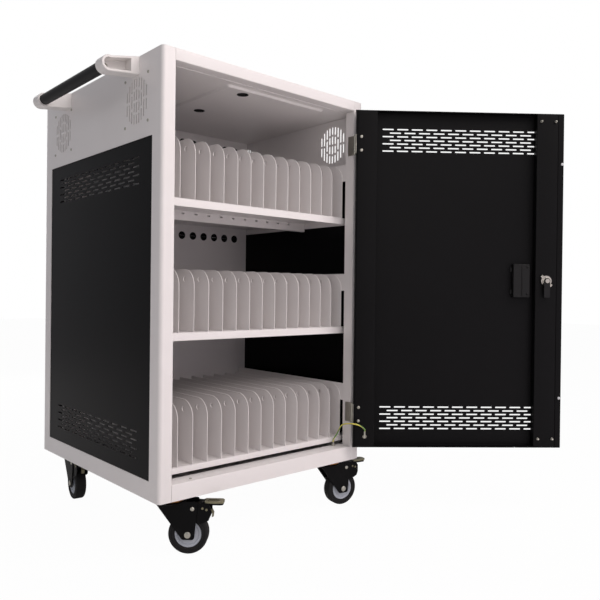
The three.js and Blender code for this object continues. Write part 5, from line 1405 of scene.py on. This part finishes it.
def caster_hub():
    """Moulded hub with a raised rim, a sunk web and a boss."""
    bm = bmesh.new()
    w = HUB_W / 2
    half = [
        (AXLE_R + 0.4, w), (9, w), (10.5, w - 1.2), (12, w - 3.4), (23, w - 3.4), (25.5, w - 0.8),
        (HUB_R - 0.8, w), (HUB_R, w - 0.8),
    ]
    lathe(bm, both_ends(half), 56, TO_Y)
    return bm


def caster_tyre():
    """Rubber tyre with a rounded shoulder and a fine groove on each side."""
    bm = bmesh.new()
    w, r0 = TYRE_W / 2, HUB_R + 0.3
    half = [(r0, w - 0.6), (r0 + 0.8, w), (36.0, w), (36.5, w - 0.7), (37.3, w - 0.7), (37.8, w)]
    half += arc(TYRE_R - 5, w - 5, 5, 90, 0, 6)
    lathe(bm, both_ends(half), 72, TO_Y)
    return bm


def caster_lever():
    """Brake lever: a pressed body on the pin, with the pad over the tyre, cheeks and skirts."""
    bm = bmesh.new()
    tip_r = PEDAL_T / 2
    arm = (
        arc(PEDAL_PIN[0], PEDAL_PIN[1], 6.5, 130, 270, 8)
        + [(PAD_X - tip_r, pad_z), (PAD_X + tip_r, pad_z), (PAD_X + PEDAL_T, PEDAL_PIN[1])]
        + [(78.0, PEDAL_TOP - PEDAL_T), (78.0, PEDAL_TOP)]
    )
    plate(bm, "y", arm, -PEDAL_HALF, PEDAL_HALF, [ring(*PEDAL_PIN, 3.4, 16)])
    cheek = [(56, -15), (84, -17), (90, -26), (88, -40), (76, -44), (66, -38), (58, -32)]
    skirt = [(57, -24), (84, -18), (90, -27), (90, -44), (86, -54), (74, -60), (60, -62), (57, -56)]
    for side in (1, -1):
        plate(bm, "y", cheek, *sorted(side * y for y in CHEEK_Y))
        plate(bm, "y", skirt, *sorted(side * y for y in SKIRT_Y))
    # Painted shade: a black plate under the tread, drawn in by 2 mm, makes the tread's slot show dark.
    plate(bm, "z", pedal_plan(2.0), PEDAL_TOP - PEDAL_T + 0.5, PEDAL_TOP - TREAD_T - 0.1)
    bmesh.ops.remove_doubles(bm, verts=bm.verts, dist=WELD)
    for v in bm.verts:
        if v.co.x ** 2 + v.co.y ** 2 < (CROWN_R + CROWN_CLEAR) ** 2:
            v.co.x = math.sqrt(max((CROWN_R + CROWN_CLEAR) ** 2 - v.co.y ** 2, 0.0))
    return bm


def pedal_plan(inset):
    """Plan of the pedal's tread (x, y), drawn in by inset."""
    r, half, tip = 9.0 - inset, PEDAL_HALF - inset, PEDAL_TIP - inset
    return ([(76.0, -half)] + arc(tip - r, r - half, r, -90, 0, 6) + arc(tip - r, half - r, r, 0, 90, 6)
            + [(76.0, half)])


def caster_tread():
    """Plated tread with a slot, the hook below it and the rivets of the cheeks."""
    bm = bmesh.new()
    plate(bm, "z", pedal_plan(0.0), PEDAL_TOP - TREAD_T, PEDAL_TOP, [oblong(82, 108, -4, 4, 3.8, 4)])
    plate(bm, "y", [(89, -33), (92, -32), (96, -40), (95, -49), (91, -50), (92, -42)], -4.0, 4.0)
    for x, z in ((72.0, -27.5), (81.0, -30.5)):
        for side in (1, -1):
            rivet = [(r, side * (SKIRT_Y[1] + h)) for r, h in ((0, 0), (2.8, 0), (2.3, 1.0), (0, 1.5))]
            lathe(bm, rivet, 16, Matrix.Translation((x, 0, z)) @ TO_Y)
    return bm


for name, (x, y, angle) in CASTERS.items():
    still = Matrix.Translation((x, y, 0))
    placed = still @ Matrix.Rotation(math.radians(angle), 4, "Z")
    wheel = placed @ Matrix.Translation((TRAIL, 0, AXLE_Z))
    put(f"caster_top_{name}", caster_plate(), YELLOW_ZINC, "cabinet",
        [f"caster_plate_{name}"], still)
    put(f"caster_legs_{name}", caster_fork(), BLACK_COAT, f"fork_{name}",
        [f"caster_fork_{name}"], placed)
    put(f"caster_bolts_{name}", caster_bolts(), ZINC, f"fork_{name}", (), placed)
    put(f"caster_wheel_hub_{name}", caster_hub(), GREY_PP, f"wheel_{name}",
        [f"caster_hub_{name}"], wheel)
    put(f"caster_wheel_tyre_{name}", caster_tyre(), TREAD, f"wheel_{name}",
        [f"caster_tyre_{name}"], wheel)
    put(f"caster_lever_{name}", caster_lever(), BLACK_COAT, f"pedal_{name}",
        [f"caster_pedal_{name}"], placed)
    put(f"caster_tread_{name}", caster_tread(), OLIVE_ZINC, f"pedal_{name}", (), placed)


# Screws: pan heads with a cross recess, at the fans, handle, caster plates, sill, power
# strips, hinges and pull cup. One node tree sets a head on every point of a body.
SCREWS, given = node_tree("heads_on_points", (
    ("Geometry", "Geometry"), ("Head", "Object"), ("Size", "Float"), ("Material", "Material"),
))
tree = SCREWS
facing = add(tree, "GeometryNodeInputNamedAttribute", {"Name": "facing"}, data_type="FLOAT_VECTOR")
stand = add(tree, "FunctionNodeAlignRotationToVector", {"Vector": facing.outputs[0]}, axis="Z")
form = add(tree, "GeometryNodeObjectInfo", {"Object": given["Head"]})
many = add(tree, "GeometryNodeInstanceOnPoints", {
    "Points": given["Geometry"], "Instance": form.outputs["Geometry"],
    "Rotation": stand.outputs[0], "Scale": given["Size"],
})
deliver(tree, many.outputs[0], given["Material"])

SCREW_R, SCREW_H, CROSS = 3.6, 1.9, (1.7, 0.5)
bm = bmesh.new()
a, b = CROSS
cross = [
    (a, -b), (a, b), (b, b), (b, a), (-b, a), (-b, b),
    (-a, b), (-a, -b), (-b, -b), (-b, -a), (b, -a), (b, -b),
]
dome = ((1.0, 0.0), (1.0, 0.5), (0.93, 1.1), (0.78, 1.6))
rings = [loop(bm, "z", ring(0, 0, SCREW_R * share, 24), z) for share, z in dome]
top = fill(bm, "z", ring(0, 0, SCREW_R * 0.58, 24), [cross], SCREW_H)
base = fill(bm, "z", cross, [], 0.7)[0]
bridge(bm, [*rings, top[0]])
bridge(bm, (top[1], base))
bm.faces.new(list(reversed(rings[0])))
head = pattern("screw_head", bm)


def screws(name, spots, size, material, body, matrix=None):
    """Sets heads on points; each spot is a place and the way its head looks."""
    mesh = bpy.data.meshes.new(name + "_spots")
    mesh.from_pydata([p for p, _ in spots], [], [])
    facing = mesh.attributes.new("facing", "FLOAT_VECTOR", "POINT")
    for i, (_, way) in enumerate(spots):
        facing.data[i].vector = way
    bm = grow(name, SCREWS, {"Head": head, "Size": size, "Material": material}, mesh)
    put(name, bm, material, body, (), matrix)


LEFT, FRONT, REAR, DOWN, UP = (-1, 0, 0), (0, -1, 0), (0, 1, 0), (0, 0, -1), (0, 0, 1)
SILL_SCREW = (88.0, 14.8)
fan_spots = [((0, y + a, GRILLE_Z + b), LEFT) for y in GRILLE_Y for a, b in FAN_SCREWS]
screws("fan_screws", fan_spots, 0.95, ZINC, "cabinet")
grip_spots = [
    ((GRIP_SCREW_X, grip_y[0] - BRACKET_WALL, GRIP_SCREW_Z), FRONT),
    ((GRIP_SCREW_X, grip_y[1] + BRACKET_WALL, GRIP_SCREW_Z), REAR),
]
screws("handle_screws", grip_spots, 1.6, ZINC, "cabinet")
plate_spots = [
    ((x + a, y + b, -PLATE_THICK), DOWN) for x, y, _ in CASTERS.values() for a, b in CASTER_BOLTS
]
screws("caster_plate_bolts", plate_spots, 1.6, ZINC, "cabinet")
screws("sill_screw", [((*SILL_SCREW, SILL), UP)], 0.9, ZINC, "cabinet")
strip_spots = [
    ((x, REAR_FACE + STRIP_SIZE[1], z), REAR)
    for x in (STRIP_X, BODY_W - STRIP_X)
    for z in (STRIP_Z + STRIP_SCREW, STRIP_Z + STRIP_SIZE[2] - STRIP_SCREW)
]
screws("strip_screws", strip_spots, 1.0, ZINC, "cabinet")
door_spots = [((HINGE_SCREW_X, DOOR_T, z0 + dz), REAR) for z0 in HINGES.values() for dz in HINGE_SCREWS]
screws("hinge_screws", door_spots, 1.15, ZINC, "front_door", SWING)
cup_spots = [((CUP_SCREW_X, CUP_D, z), REAR) for z in CUP_SCREW_Z]
screws("cup_screws", cup_spots, 0.9, BLACK_OXIDE, "front_door", SWING)
bpy.data.objects.remove(head)


# Door buffers: four silicone dots on the rim that meet the frame when the door is shut,
# and four plated studs on the lock channel, two near each corner of the free edge.
BUFFER_AT = ((137.0, DOOR_Z[1] + 3.5), (15.0, 809.0), (16.0, 171.0), (137.0, DOOR_Z[0] - 3.5))
STUD_X, STUD_Z = (44.4, 83.3), (65.0, 918.2)
# Milky silicone
SILICONE = finish("silicone_milky", "#c9ccce", "#bfc2c4", (0.2, 0.3), 2.0, 0.01)
bm = bmesh.new()
for x, z in BUFFER_AT:
    dot = [(0, 0), (3.9, 0), (3.8, 0.8), (3.0, 1.4), (1.4, 1.7), (0, 1.8)]
    lathe(bm, dot, 24, Matrix.Translation((x, LIP_Y[1], z)) @ TO_Y)
put("door_buffers", bm, SILICONE, "front_door", (), SWING)
bm = bmesh.new()
for x in STUD_X:
    for z in STUD_Z:
        peg = [(0, 0), (3.4, 0), (3.4, 1.6), (2.6, 2.4), (2.6, 5.4), (2.2, 6.0), (0, 6.0)]
        lathe(bm, peg, 20, Matrix.Translation((x, DOOR_T, z)) @ TO_Y)
put("door_studs", bm, ZINC, "front_door", (), SWING)
